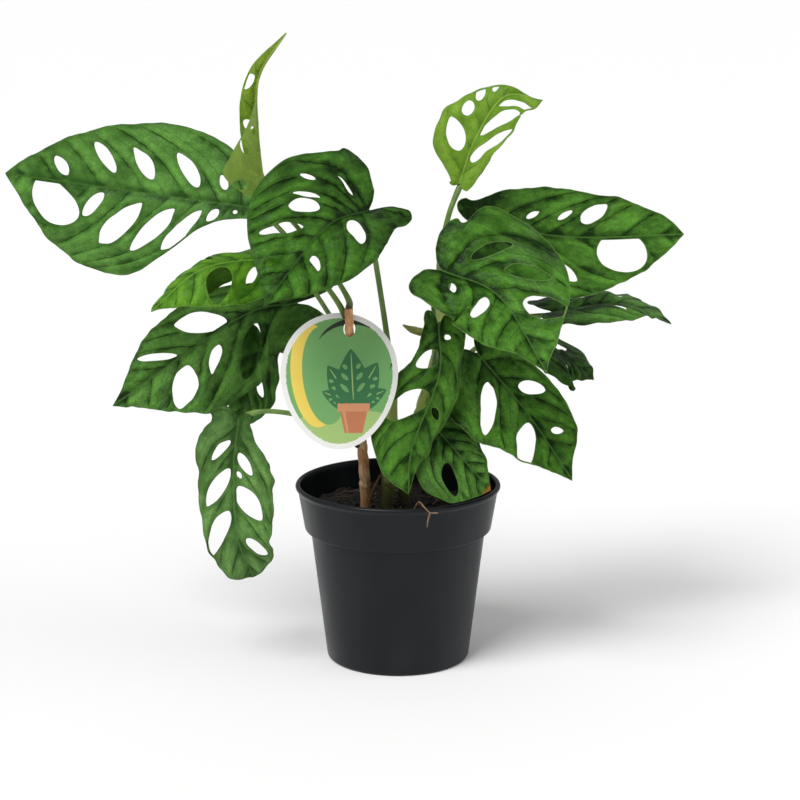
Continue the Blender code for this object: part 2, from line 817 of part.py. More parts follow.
def pot_profile():
    """The pot's outline from the axis under its floor, out and up to the lip, and back inside."""
    lip = LIP_RADIUS
    outside = [
        (0.0, 0.0),
        (POT_FOOT_RADIUS - POT_FOOT_ROUND, 0.0),
        (POT_FOOT_RADIUS - 0.3 * POT_FOOT_ROUND, 0.3 * POT_FOOT_ROUND),
        (POT_FOOT_RADIUS, POT_FOOT_ROUND),
        (STEP_RADIUS, BAND_BOTTOM - BAND_ROUND),
        (BAND_RADIUS - BAND_ROUND, BAND_BOTTOM),
        (BAND_RADIUS, BAND_BOTTOM + BAND_ROUND),
        (NECK_RADIUS, NECK_HEIGHT),
        (POT_RADIUS - 1.0, NECK_HEIGHT + 1.0),
    ]
    rolled = [
        (POT_RADIUS - lip + lip * math.cos(turn), POT_HEIGHT - lip + lip * math.sin(turn))
        for turn in np.linspace(-0.35 * math.pi, 0.85 * math.pi, LIP_POINTS)
    ]
    within = [
        (NECK_RADIUS - POT_WALL, NECK_HEIGHT),
        (BAND_RADIUS - POT_WALL, BAND_BOTTOM + 2 * BAND_ROUND),
        (STEP_RADIUS - POT_WALL, BAND_BOTTOM - 2 * BAND_ROUND),
        (POT_FOOT_RADIUS - POT_WALL, POT_FLOOR + 1.0),
        (POT_FOOT_RADIUS - POT_WALL - 1.0, POT_FLOOR),
        (0.0, POT_FLOOR),
    ]
    return outside + rolled + within


def build_pot():
    """The nursery pot: foot, sloping wall, step, band and rolled lip, with holes in the floor."""
    plastic = finish("black plastic", (0.022, 0.026, 0.03), 0.42)
    pot = solid("pot", *turned(pot_profile(), POT_SIDES), plastic)
    cutters = []
    for i in range(DRAIN_HOLES):
        turn = 2 * math.pi * i / DRAIN_HOLES + DRAIN_TURN
        x, y = DRAIN_PLACE * math.cos(turn), DRAIN_PLACE * math.sin(turn)
        line = [(x, y, -POT_FLOOR), (x, y, 2 * POT_FLOOR)]
        cutters.append(solid("drain cutter", *tube(line, [DRAIN_RADIUS] * 2, DRAIN_SIDES, 1)))
    combine(pot, cutters, "DIFFERENCE")


def build_soil():
    """The soil: a plug that fills the pot, uneven on top, with a plain hole for each stem."""
    inset = POT_WALL + SOIL_GAP
    bottom = POT_FLOOR + SEAT_GAP
    profile = [
        (0.0, bottom),
        (POT_FOOT_RADIUS - inset - 1.0, bottom),
        (POT_FOOT_RADIUS - inset, bottom + 1.2),
        (STEP_RADIUS - inset, BAND_BOTTOM - 2 * BAND_ROUND - 0.2),
        (BAND_RADIUS - inset, BAND_BOTTOM + 2 * BAND_ROUND + 0.6),
        (BAND_RADIUS - inset + 1.2, SOIL_HEIGHT - SOIL_EDGE),
        *((radius, SOIL_HEIGHT) for radius in SOIL_RINGS),
        (0.0, SOIL_HEIGHT),
    ]
    verts, faces = turned(profile, POT_SIDES)
    x, y = verts[:, 0], verts[:, 1]
    rise = SOIL_BUMP * np.sin(x / 7.0 + 1.3) * np.cos(y / 6.0)
    rise += SOIL_RIPPLE * (np.sin((x + y) / 4.3) - 0.9)
    verts[:, 2] += np.where(verts[:, 2] == SOIL_HEIGHT, rise, 0.0)
    ground = solid("soil", verts, faces, finish("dark soil", (0.02, 0.014, 0.01), 0.95))
    cutters = []
    for stem in STEMS.values():
        low = np.array(stem.line[0]) - (0, 0, SEAT_GAP)
        high = low + (0, 0, SOIL_HEIGHT)
        hole = stem.radii[0] + STEM_HOLE_GAP
        cutters.append(solid("stem cutter", *tube([low, high], [hole] * 2, 2 * STEM_SIDES, 1)))
    combine(ground, cutters, "DIFFERENCE")


def build_stem(name, stem):
    """One stem."""
    solid(name, *tube(stem.line, stem.radii, STEM_SIDES), finish(*STEM_FINISHES[stem.tone]))


def build_bud():
    """The new shoot's bud, pointing left from the right stem."""
    start = foot(STEMS["stem_right"], BUD_JOINT, BUD_LINE[0], BUD_RADII[0])
    bud = tube([start, *BUD_LINE], BUD_RADII, STEM_SIDES)
    solid("bud", *bud, finish("bud", (0.3, 0.36, 0.08), 0.5))


def build_tag():
    """The plain plant tag: an egg-shaped card hung on the left stem by its slot."""
    outline = []
    for turn in np.linspace(0, 2 * math.pi, TAG_POINTS, endpoint=False):
        reach = TAG_WIDTH / 2 * (1 + TAG_TAPER * math.cos(turn))
        outline.append((reach * math.sin(turn), TAG_HEIGHT / 2 * math.cos(turn)))
    slot = []
    for turn in np.linspace(0, 2 * math.pi, TAG_SLOT_POINTS, endpoint=False):
        x, z = TAG_SLOT[0] / 2 * math.sin(turn), TAG_SLOT[1] / 2 * math.cos(turn)
        slot.append((x + TAG_SLOT_PLACE[0], z + TAG_SLOT_PLACE[1]))
    outline, slot = np.array(outline), np.array(slot)
    spots = np.vstack([outline, slot])
    edges = []
    for start, size in ((0, TAG_POINTS), (TAG_POINTS, TAG_SLOT_POINTS)):
        edges += [(start + i, start + (i + 1) % size) for i in range(size)]
    given = [Vector((float(a), float(b))) for a, b in spots]
    _, _, faces, *_ = delaunay_2d_cdt(given, edges, [], 0, MERGE)
    faces = np.array([tuple(f) for f in faces])
    middles = spots[faces].mean(1)
    faces = faces[inside(outline, middles) & ~inside(slot, middles)]
    lean = math.radians(TAG_LEAN)
    across = np.array([1.0, 0.0, 0.0])
    rise = np.array([0.0, math.sin(lean), math.cos(lean)])
    out = np.array([0.0, -math.cos(lean), math.sin(lean)])
    flat = np.array(TAG_SLOT_AT) + (spots[:, :1] - TAG_SLOT_PLACE[0]) * across
    flat = flat + (spots[:, 1:] - TAG_SLOT_PLACE[1]) * rise
    verts = np.vstack([flat + out * TAG_THICKNESS / 2, flat - out * TAG_THICKNESS / 2])
    count = len(spots)
    made = [tuple(int(i) for i in f) for f in faces]
    made += [tuple(int(i) + count for i in f[::-1]) for f in faces]
    made += [(a, b, b + count, a + count) for a, b in edges]
    solid("tag", verts, made, finish("printed card", (0.75, 0.76, 0.7), 0.5))


def main():
    """Build every piece in an empty scene."""
    for thing in list(bpy.data.objects):
        bpy.data.objects.remove(thing)
    build_pot()
    build_soil()
    for name, stem in STEMS.items():
        build_stem(name, stem)
    build_bud()
    build_tag()
    for leaf in LEAVES:
        build_leaf(leaf)


if __name__ == "__main__":
    main()
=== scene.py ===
"""The looks of a potted Swiss cheese vine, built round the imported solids.

Lengths are in millimetres and become metres when a mesh is made. The origin is the middle of the
pot's foot, +Z is up and the plant's front looks towards -Y. A leaf's shape is worked out in flat
places (how far along the rib, how far across it) which are then folded and curled into space.
"""

import logging
import math
from collections.abc import Callable, Iterable, Sequence
from dataclasses import dataclass, field, replace
from enum import Enum

import bmesh
import bpy
import numpy as np
from mathutils import Matrix, Vector, noise
from mathutils.geometry import delaunay_2d_cdt


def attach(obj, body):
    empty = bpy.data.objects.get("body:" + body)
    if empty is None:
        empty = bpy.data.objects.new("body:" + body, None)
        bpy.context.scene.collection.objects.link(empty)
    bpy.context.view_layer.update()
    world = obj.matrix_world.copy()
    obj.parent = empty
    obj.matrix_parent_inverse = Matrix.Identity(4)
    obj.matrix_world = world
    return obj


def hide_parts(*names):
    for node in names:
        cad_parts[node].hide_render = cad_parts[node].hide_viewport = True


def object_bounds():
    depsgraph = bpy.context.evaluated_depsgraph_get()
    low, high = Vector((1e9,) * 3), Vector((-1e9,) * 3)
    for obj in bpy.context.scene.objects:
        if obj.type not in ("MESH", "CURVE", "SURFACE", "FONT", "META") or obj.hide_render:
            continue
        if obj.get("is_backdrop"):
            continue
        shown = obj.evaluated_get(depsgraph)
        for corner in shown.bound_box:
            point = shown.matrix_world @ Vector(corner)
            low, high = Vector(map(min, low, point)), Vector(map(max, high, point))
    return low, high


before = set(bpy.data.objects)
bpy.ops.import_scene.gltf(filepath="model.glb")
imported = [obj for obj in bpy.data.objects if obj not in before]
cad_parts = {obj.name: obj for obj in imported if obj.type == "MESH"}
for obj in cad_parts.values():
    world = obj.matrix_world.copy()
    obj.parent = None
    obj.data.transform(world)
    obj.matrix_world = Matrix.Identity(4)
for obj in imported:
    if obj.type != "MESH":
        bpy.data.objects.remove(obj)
CAD_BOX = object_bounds()

MM = 0.001
BODY = "root"
SHARP = math.radians(55)
AT_ONCE = 1500
NEVER = 1000.0
LOG = logging.getLogger("plant")

Material = bpy.types.Material
Node = bpy.types.Node
NodeTree = bpy.types.NodeTree
Outputs = bpy.types.bpy_prop_collection
Socket = bpy.types.NodeSocket
Colour = tuple[float, float, float]
Point = tuple[float, float, float]
Marks = dict[str, np.ndarray]


class Slot(Enum):
    """The record's material slots."""

    POT = "pot_plastic"
    SOIL = "soil"
    BARK = "stem_bark"
    GREEN_STEM = "stem_green"
    CARD = "tag_card"
    LEAF = "leaf_green"
    DEEP_LEAF = "leaf_deep"
    YOUNG_LEAF = "leaf_young"


@dataclass
class Half:
    """One half of a blade, from the rib out to its margin.

    width is the widest reach from the rib and lobe the reach behind the petiole (mm); widest is
    the place of the widest point and shoulder the width beside the petiole, both as shares; fold
    is the rise at the rib and curl the further turn by the margin (degrees, up positive). taper
    above 1 draws the tip out and lean is how far the side veins run forward on their way out.
    neck below 1 narrows the half soon past its widest point, swell above 1 widens it late on the
    way there, and tip_fold is the rise at the tip where it differs. A hole is (place on the rib,
    inner end, outer end, width in mm), its ends as shares of the width, and may go on with how
    pointed it is and how much wider its inner end is.
    """

    width: float
    widest: float = 0.36
    shoulder: float = 0.72
    lobe: float = 12.0
    fold: float = 8.0
    curl: float = -16.0
    taper: float = 1.2
    lean: float = 0.75
    neck: float = 1.25
    swell: float = 1.0
    tip_fold: float | None = None
    holes: tuple = ()


@dataclass
class Leaf:
    """A blade with its petiole.

    rib is the line of the blade's rib, petiole end to tip, and face and tip_face are the ways
    that the blade looks at those ends. The petiole leaves the named stem at the height joint, or
    goes on from the stem's tip, and passes through its own points to the rib. stalk is its radius,
    wave the ripple at the margin and waves how often that comes along the rib. ragged is how far
    the margin strays from its even line, ruffle how far it lifts there and strip the least width
    left between a hole and the margin (mm).
    """

    name: str
    rib: tuple
    face: tuple
    stem: str
    petiole: tuple
    left: Half
    right: Half
    joint: float | None = None
    stalk: float = 1.45
    tip_face: tuple | None = None
    wave: float = 1.2
    waves: float = 3.0
    ragged: float = 1.2
    ruffle: float = 1.2
    strip: float = 1.3


@dataclass
class Stem:
    """A stem standing in the soil: its centre line and the radii spread evenly along it."""

    line: tuple
    radii: tuple


STEMS = {
    "stem_left": Stem(
        line=(
            (-19, -1, 66), (-19, -1, 82), (-19, -1, 98), (-20, -5, 120), (-23, -16, 150),
            (-26, -28, 185), (-27, -36, 200), (-27, -42, 207), (-27, -43, 216),
        ),
        radii=(3.2, 3.1, 2.9, 2.6, 2.3),
    ),
    "stem_middle": Stem(
        line=((-6, 1, 66), (-6, 1, 82), (-6, 1, 98), (-5, 1, 120), (-4, 1, 145), (-3, 2, 166)),
        radii=(3.8, 3.8, 3.7, 3.0),
    ),
    "stem_right": Stem(
        line=(
            (4, 6, 66), (4, 6, 82), (4, 6, 98), (6, 6, 120), (13, 6, 145), (20, 6, 168),
            (24, 5, 190), (24, 5, 207),
        ),
        radii=(3.8, 3.8, 3.6, 3.2, 2.5),
    ),
}

LEAVES = (
    Leaf(
        "leaf_left_long",
        rib=((-82, -18, 269), (-152, 0, 276), (-226, 18, 284)),
        face=(-0.15, -0.85, 0.5), tip_face=(-0.25, -0.95, 0.0),
        stem="stem_left", joint=211,
        petiole=((-37, -38, 224), (-62, -28, 254), (-76, -20, 266)),
        left=Half(
            50, widest=0.53, shoulder=0.15, lobe=3, fold=7, curl=-38, taper=1.1, swell=2.3,
            holes=(
                (0.05, 0.06, 0.11, 3), (0.11, 0.08, 0.24, 5), (0.16, 0.14, 0.62, 9, 0.4, 0.0),
                (0.26, 0.13, 0.64, 10, 0.4, 0.0), (0.4, 0.14, 0.68, 12, 0.4, -0.1),
                (0.57, 0.07, 0.34, 7, 0.4, 0.0), (0.73, 0.07, 0.41, 34, -0.25, 0.25),
            ),
        ),
        right=Half(
            40, widest=0.3, shoulder=0.5, lobe=5, fold=10, curl=-8, taper=0.9,
            holes=(
                (0.08, 0.2, 0.4, 5), (0.18, 0.18, 0.62, 8), (0.35, 0.22, 0.62, 8), (0.5, 0.22, 0.6, 7),
                (0.72, 0.1, 0.36, 7),
            ),
        ),
    ),
    Leaf(
        "leaf_left_furled",
        rib=((-74, -22, 279), (-78, -19, 312), (-77, -22, 342), (-61, -22, 366)),
        face=(-1.0, -0.2, 0.0), tip_face=(0.1, -1.0, 0.3),
        stem="stem_left",
        petiole=((-28, -41, 222), (-42, -34, 243), (-62, -26, 266)),
        left=Half(
            10, widest=0.45, shoulder=0.5, lobe=3, fold=78, curl=18, taper=1.1, neck=0.9, tip_fold=34,
            holes=((0.36, 0.25, 0.75, 5), (0.6, 0.3, 0.8, 9)),
        ),
        right=Half(
            27, widest=0.16, shoulder=0.5, lobe=2, fold=70, curl=10, taper=2.0, neck=0.6, tip_fold=35,
            holes=((0.03, 0.4, 0.74, 5), (0.16, 0.34, 0.66, 6), (0.32, 0.12, 0.34, 4)),
        ),
        wave=0.3, ragged=0.8, ruffle=0.8,
    ),
    Leaf(
        "leaf_front_left",
        rib=((-16, -21, 268), (-40, -52, 262), (-71, -89, 226)),
        face=(0.45, -0.45, 0.75), tip_face=(-0.3, -0.5, 0.8),
        stem="stem_middle",
        petiole=((-4, 1, 174), (-8, -4, 205), (-13, -12, 240)),
        stalk=1.7,
        left=Half(
            36, widest=0.44, shoulder=0.55, lobe=21, fold=25, curl=-57, taper=0.5,
            holes=((0.19, 0.26, 0.66, 10), (0.56, 0.2, 0.5, 5)),
        ),
        right=Half(
            44, widest=0.32, shoulder=0.86, lobe=15, fold=18, curl=-2, taper=1.3,
            holes=(
                (0.04, 0.25, 0.55, 3), (0.08, 0.6, 0.75, 3), (0.16, 0.36, 0.6, 3), (0.24, 0.26, 0.54, 8),
                (0.41, 0.2, 0.58, 6), (0.67, 0.15, 0.34, 5),
            ),
        ),
        ragged=0.3, ruffle=0.6,
    ),
    Leaf(
        "leaf_left_folded",
        rib=((-71, -13, 240), (-109, -28, 236), (-138, -35, 213)),
        face=(-0.05, -0.15, 1.0), tip_face=(-0.6, 0.1, 0.75),
        stem="stem_left", joint=190,
        petiole=((-36, -20, 204), (-54, -10, 228)),
        left=Half(
            27, widest=0.45, shoulder=0.8, fold=-50, curl=-14, taper=1.4,
            holes=((0.1, 0.2, 0.6, 5), (0.33, 0.14, 0.86, 15, 0.1, 0.2)),
        ),
        right=Half(
            44, widest=0.42, shoulder=0.8, fold=30, curl=-130, taper=1.1,
            holes=((0.35, 0.15, 0.36, 4),),
        ),
        ragged=1.4, ruffle=2.0,
    ),
    Leaf(
        "leaf_left_low",
        rib=((-60, 30, 206), (-94, 36, 196), (-171, 38, 142)),
        face=(-0.25, -0.85, 0.45), tip_face=(-0.25, -0.95, 0.3),
        stem="stem_middle", joint=152,
        petiole=((-25, 18, 180), (-46, 27, 200)),
        left=Half(
            45, widest=0.4, shoulder=0.6, lobe=16, fold=13, curl=-12,
            holes=((0.15, 0.25, 0.8, 13), (0.37, 0.18, 0.5, 7), (0.54, 0.2, 0.62, 17)),
        ),
        right=Half(
            25, widest=0.52, shoulder=0.3, lobe=24, fold=15, curl=-5, taper=1.4, lean=1.6,
            holes=((0.31, 0.12, 0.76, 12), (0.59, 0.1, 0.58, 4.5)),
        ),
        ragged=1.6, ruffle=1.8,
    ),
    Leaf(
        "leaf_left_behind",
        rib=((-81, 34, 180), (-88, 32, 158), (-97, 27, 131)),
        face=(-0.55, -0.8, 0.25),
        stem="stem_middle", joint=132,
        petiole=((-32, 24, 150), (-60, 36, 172)),
        left=Half(
            25, widest=0.6, shoulder=0.75, lobe=10, fold=14, curl=-6, taper=1.0,
            holes=((0.3, 0.2, 0.6, 5),),
        ),
        right=Half(20, lobe=10, holes=((0.4, 0.3, 0.6, 4),)),
    ),
    Leaf(
        "leaf_left_hanging",
        rib=((-90, -34, 151), (-94, -26, 120), (-92, -33, 82), (-84, -20, 53)),
        face=(-0.15, -0.95, 0.2),
        stem="stem_left", joint=130,
        petiole=((-40, -24, 146), (-61, -33, 154), (-78, -37, 156)),
        left=Half(
            23, widest=0.42, shoulder=0.3, lobe=5, fold=12, curl=-35, taper=0.4, lean=1.5,
            holes=(
                (0.17, 0.14, 0.5, 6.5), (0.29, 0.1, 0.22, 3), (0.37, 0.12, 0.64, 10),
                (0.62, 0.24, 0.6, 7),
            ),
        ),
        right=Half(
            21, widest=0.15, shoulder=0.75, lobe=8, fold=22, curl=-10, taper=0.34, lean=1.4,
            holes=((0.1, 0.16, 0.6, 5), (0.28, 0.14, 0.8, 8), (0.5, 0.12, 0.82, 9)),
        ),
        ragged=2.4, ruffle=3.0,
    ),
    Leaf(
        "leaf_right_young",
        rib=((35, 4, 280), (44, 0, 306), (60, 2, 329), (82, 6, 327)),
        face=(-0.45, -0.85, 0.2), tip_face=(0.0, -0.7, 0.7),
        stem="stem_right",
        petiole=((24, 4, 214), (24, 2, 236), (29, 2, 262)),
        stalk=1.6,
        left=Half(
            29, widest=0.26, shoulder=0.22, lobe=3, curl=-35, taper=2.8,
            holes=(
                (0.17, 0.22, 0.7, 11), (0.37, 0.34, 0.56, 7), (0.5, 0.3, 0.5, 5), (0.62, 0.2, 0.4, 3),
            ),
        ),
        right=Half(
            25, widest=0.6, shoulder=0.4, lobe=1.5, fold=34, curl=-20, taper=0.6, lean=1.2,
            holes=((0.14, 0.12, 0.95, 7), (0.36, 0.1, 0.95, 9), (0.58, 0.1, 0.9, 7)),
        ),
        ragged=1.4, ruffle=1.5,
    ),
    Leaf(
        "leaf_right_long",
        rib=((43, 21, 255), (102, 38, 244), (170, 50, 244)),
        face=(0.35, -0.85, 0.4), tip_face=(0.15, -0.85, 0.5),
        stem="stem_right", joint=196,
        petiole=((28, 14, 214), (35, 20, 238)),
        left=Half(
            31, widest=0.38, shoulder=0.43, lobe=10, fold=6, curl=-25, taper=0.7, lean=1.4,
            holes=((0.17, 0.25, 0.45, 3), (0.3, 0.3, 0.52, 3), (0.42, 0.3, 0.66, 9)),
        ),
        right=Half(
            39, widest=0.3, curl=-13, taper=0.9, lean=1.25,
            holes=((0.2, 0.42, 0.72, 8), (0.61, 0.04, 0.45, 27, 0.0, 0.15)),
        ),
    ),
    Leaf(
        "leaf_front_right",
        rib=((24, -33, 236), (56, -44, 223), (80, -85, 189)),
        face=(0.05, -0.7, 0.7), tip_face=(0.2, -0.55, 0.8),
        stem="stem_right", joint=180,
        petiole=((21, -8, 200), (20, -24, 222)),
        left=Half(
            44, widest=0.17, shoulder=0.7, lobe=10, fold=15, curl=12,
            holes=((0.08, 0.26, 0.68, 6), (0.2, 0.3, 0.66, 7), (0.44, 0.2, 0.6, 15)),
        ),
        right=Half(
            36, widest=0.5, shoulder=0.7, lobe=11, fold=17, curl=-28, taper=1.3,
            holes=((0.06, 0.2, 0.4, 4), (0.28, 0.22, 0.7, 9)),
        ),
        ragged=1.3, ruffle=1.5,
    ),
    Leaf(
        "leaf_right_edge_on",
        rib=((93, 36, 200), (132, 44, 203), (164, 50, 190)),
        face=(-0.05, -0.15, 1.0), tip_face=(0.45, 0.0, 0.9),
        stem="stem_right", joint=162,
        petiole=((44, 18, 180), (70, 31, 196)),
        left=Half(
            36, widest=0.55, shoulder=0.73, fold=17, curl=-50, taper=1.0,
            holes=((0.15, 0.3, 0.6, 5), (0.42, 0.3, 0.6, 5)),
        ),
        right=Half(
            28, widest=0.34, shoulder=0.9, fold=16, curl=-42, taper=1.4,
            holes=((0.35, 0.3, 0.55, 4),),
        ),
        ragged=2.2, ruffle=4.0,
    ),
    Leaf(
        "leaf_right_behind",
        rib=((84, 40, 176), (102, 58, 167), (119, 58, 154)),
        face=(0.65, -0.25, 0.7), tip_face=(0.4, -0.4, 0.8),
        stem="stem_right", joint=140,
        petiole=((40, 26, 158), (64, 38, 172)),
        left=Half(
            30, widest=0.42, lobe=10, fold=0, curl=-26, taper=1.0,
            holes=((0.35, 0.2, 0.5, 5),),
        ),
        right=Half(
            27, widest=0.39, lobe=10, fold=2, curl=-18, taper=1.1,
            holes=((0.3, 0.3, 0.6, 5),),
        ),
        ragged=2.2, ruffle=4.0,
    ),
    Leaf(
        "leaf_right_low",
        rib=((46, -1, 182), (74, -13, 150), (99, -37, 116)),
        face=(0.2, -0.9, 0.45), tip_face=(0.2, -0.65, 0.7),
        stem="stem_right", joint=152,
        petiole=((30, -2, 168), (40, -1, 180)),
        left=Half(
            23, widest=0.5, shoulder=0.7, fold=13, curl=-3, taper=1.3,
            holes=((0.27, 0.22, 0.74, 9), (0.6, 0.25, 0.5, 5)),
        ),
        right=Half(
            41, widest=0.24, shoulder=0.75, fold=13, curl=-10, taper=1.0, lean=1.1,
            holes=((0.1, 0.14, 0.78, 10), (0.5, 0.08, 0.58, 12)),
        ),
    ),
    Leaf(
        "leaf_middle",
        rib=((23, -29, 203), (23, -38, 177), (8, -50, 138), (6, -56, 113)),
        face=(-0.1, -0.95, 0.1), tip_face=(0.45, -0.85, 0.3),
        stem="stem_right", joint=168,
        petiole=((22, -10, 188), (24, -22, 203)),
        left=Half(
            14, widest=0.43, shoulder=1.0, lobe=10, fold=2, curl=-45, taper=1.3,
            holes=((0.05, 0.2, 0.45, 3), (0.45, 0.2, 0.6, 4)),
        ),
        right=Half(
            25, widest=0.6, shoulder=0.35, lobe=10, fold=-4, curl=-12, taper=0.7, lean=1.0,
            holes=((0.12, 0.06, 0.52, 10), (0.38, 0.12, 0.8, 13, 0.1, 0.1)),
        ),
        ragged=1.8, ruffle=2.5,
    ),
    Leaf(
        "leaf_on_rim",
        rib=((20, -19, 144), (36, -31, 128), (53, -33, 109)),
        face=(0.05, -0.8, 0.5), tip_face=(0.5, -0.6, 0.6),
        stem="stem_right", joint=122,
        petiole=((12, -8, 138), (17, -15, 147)),
        left=Half(16, widest=0.4, shoulder=0.74, lobe=10, fold=11, curl=-25, taper=1.1),
        right=Half(
            33, widest=0.55, shoulder=0.3, lobe=6, fold=11, curl=-13, taper=0.9,
            holes=((0.03, 0.4, 0.62, 4), (0.3, 0.32, 0.74, 7)),
        ),
        ragged=1.4, ruffle=1.8,
    ),
)


def unit(vectors: np.ndarray) -> np.ndarray:
    """Scale one vector, or each row of several, to length 1."""
    vectors = np.asarray(vectors, float)
    return vectors / np.linalg.norm(vectors, axis=-1, keepdims=True)


def smooth_line(points: Sequence, steps: int = 16) -> np.ndarray:
    """Round a line: a cubic curve through its points, with its ends carried on.

    Args:
        points: The points that the line passes through.
        steps: The pieces between two points.

    Returns:
        The rounded line's points.
    """
    points = np.asarray(points, float)
    ends = np.vstack([2 * points[0] - points[1], points, 2 * points[-1] - points[-2]])
    t = np.linspace(0, 1, steps + 1)[1:, None]
    line = [points[:1]]
    for before, start, stop, after in zip(ends, ends[1:], ends[2:], ends[3:]):
        bend = 2 * before - 5 * start + 4 * stop - after
        twist = 3 * start - before - 3 * stop + after
        line.append(0.5 * (2 * start + (stop - before) * t + bend * t**2 + twist * t**3))
    return np.vstack(line)


def gone(line: np.ndarray) -> np.ndarray:
    """Measure the length of a line up to each of its points, 0 at the first."""
    return np.concatenate([[0.0], np.cumsum(np.linalg.norm(np.diff(line, axis=0), axis=1))])


def even(line: np.ndarray, spacing: float) -> np.ndarray:
    """Give a line points at an even spacing.

    Args:
        line: The line's points.
        spacing: The distance wanted between two new points.

    Returns:
        The new points, with the line's own ends.
    """
    length = gone(line)
    count = max(int(round(length[-1] / spacing)), 2)
    places = np.linspace(0, length[-1], count + 1)
    return np.stack([np.interp(places, length, column) for column in line.T], 1)


def inside(ring: np.ndarray, spots: np.ndarray) -> np.ndarray:
    """Find the flat spots inside a flat ring.

    Args:
        ring: The ring's corners in order.
        spots: The spots to test.

    Returns:
        True for each spot that lies inside.
    """
    found = np.zeros(len(spots), bool)
    for (x1, y1), (x2, y2) in zip(ring, np.roll(ring, -1, axis=0)):
        crosses = (y1 > spots[:, 1]) != (y2 > spots[:, 1])
        rise = y2 - y1 if y2 != y1 else 1.0
        found ^= crosses & (spots[:, 0] < (x2 - x1) * (spots[:, 1] - y1) / rise + x1)
    return found


def nearest(spots: np.ndarray, others: np.ndarray) -> np.ndarray:
    """Measure how far each flat spot is from the nearest of some others.

    Args:
        spots: The spots to measure from.
        others: The spots to measure to.

    Returns:
        The distance for each spot.
    """
    found = np.empty(len(spots))
    for start in range(0, len(spots), AT_ONCE):
        part = spots[start : start + AT_ONCE, None].astype(np.float32)
        apart = part - others[None].astype(np.float32)
        found[start : start + AT_ONCE] = np.sqrt((apart**2).sum(2).min(1))
    return found


def lumps(places: np.ndarray, size: float, seed: float) -> np.ndarray:
    """Draw soft random lumps over flat places: values about 0, seldom beyond 0.6 either way."""
    spots = np.column_stack([places / size, np.full(len(places), seed)])
    return np.array([noise.noise(spot) for spot in spots.tolist()])


def ease(value: np.ndarray, low: float, high: float) -> np.ndarray:
    """Rise smoothly from 0 where the value is low to 1 where it is high."""
    share = np.clip((value - low) / (high - low), 0, 1)
    return share * share * (3 - 2 * share)


@dataclass
class Shape:
    """Points, faces and the marks that a finish reads from them."""

    verts: np.ndarray
    faces: list
    corners: Marks = field(default_factory=dict)
    points: Marks = field(default_factory=dict)
    slots: list | None = None

    def show(self, name: str, finishes: Sequence, slot: Slot, *nodes: str) -> bpy.types.Object:
        """Make the shape a piece of the plant that rides on its one body.

        Args:
            name: The piece's name.
            finishes: The materials, in the order of the shape's slots.
            slot: The record's slot for the piece; not used.
            nodes: The solids that the piece stands for.

        Returns:
            The new object.
        """
        mesh = bpy.data.meshes.new(name)
        mesh.from_pydata((np.asarray(self.verts, float) * MM).tolist(), [], self.faces)
        for domain, marks in (("CORNER", self.corners), ("POINT", self.points)):
            for label, values in marks.items():
                made = mesh.attributes.new(label, "FLOAT_VECTOR", domain)
                made.data.foreach_set("vector", np.asarray(values, np.float32).ravel())
        for finish in finishes:
            mesh.materials.append(finish)
        if self.slots is not None:
            mesh.polygons.foreach_set("material_index", self.slots)
        mesh.shade_smooth()
        mesh.set_sharp_from_angle(angle=SHARP)
        piece = bpy.data.objects.new(name, mesh)
        bpy.context.scene.collection.objects.link(piece)
        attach(piece, BODY)
        if nodes:
            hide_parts(*nodes)
        LOG.info("%s: %d faces", name, len(self.faces))
        return piece


def together(shapes: Iterable[Shape]) -> Shape:
    """Put several shapes into one.

    Args:
        shapes: The shapes, with the same point marks in each.

    Returns:
        One shape that holds them all.
    """
    shapes = list(shapes)
    faces = []
    slots = []
    count = 0
    for shape in shapes:
        faces += [tuple(i + count for i in face) for face in shape.faces]
        slots += shape.slots or [0] * len(shape.faces)
        count += len(shape.verts)
    points = {key: np.vstack([s.points[key] for s in shapes]) for key in shapes[0].points}
    return Shape(np.vstack([s.verts for s in shapes]), faces, points=points, slots=slots)


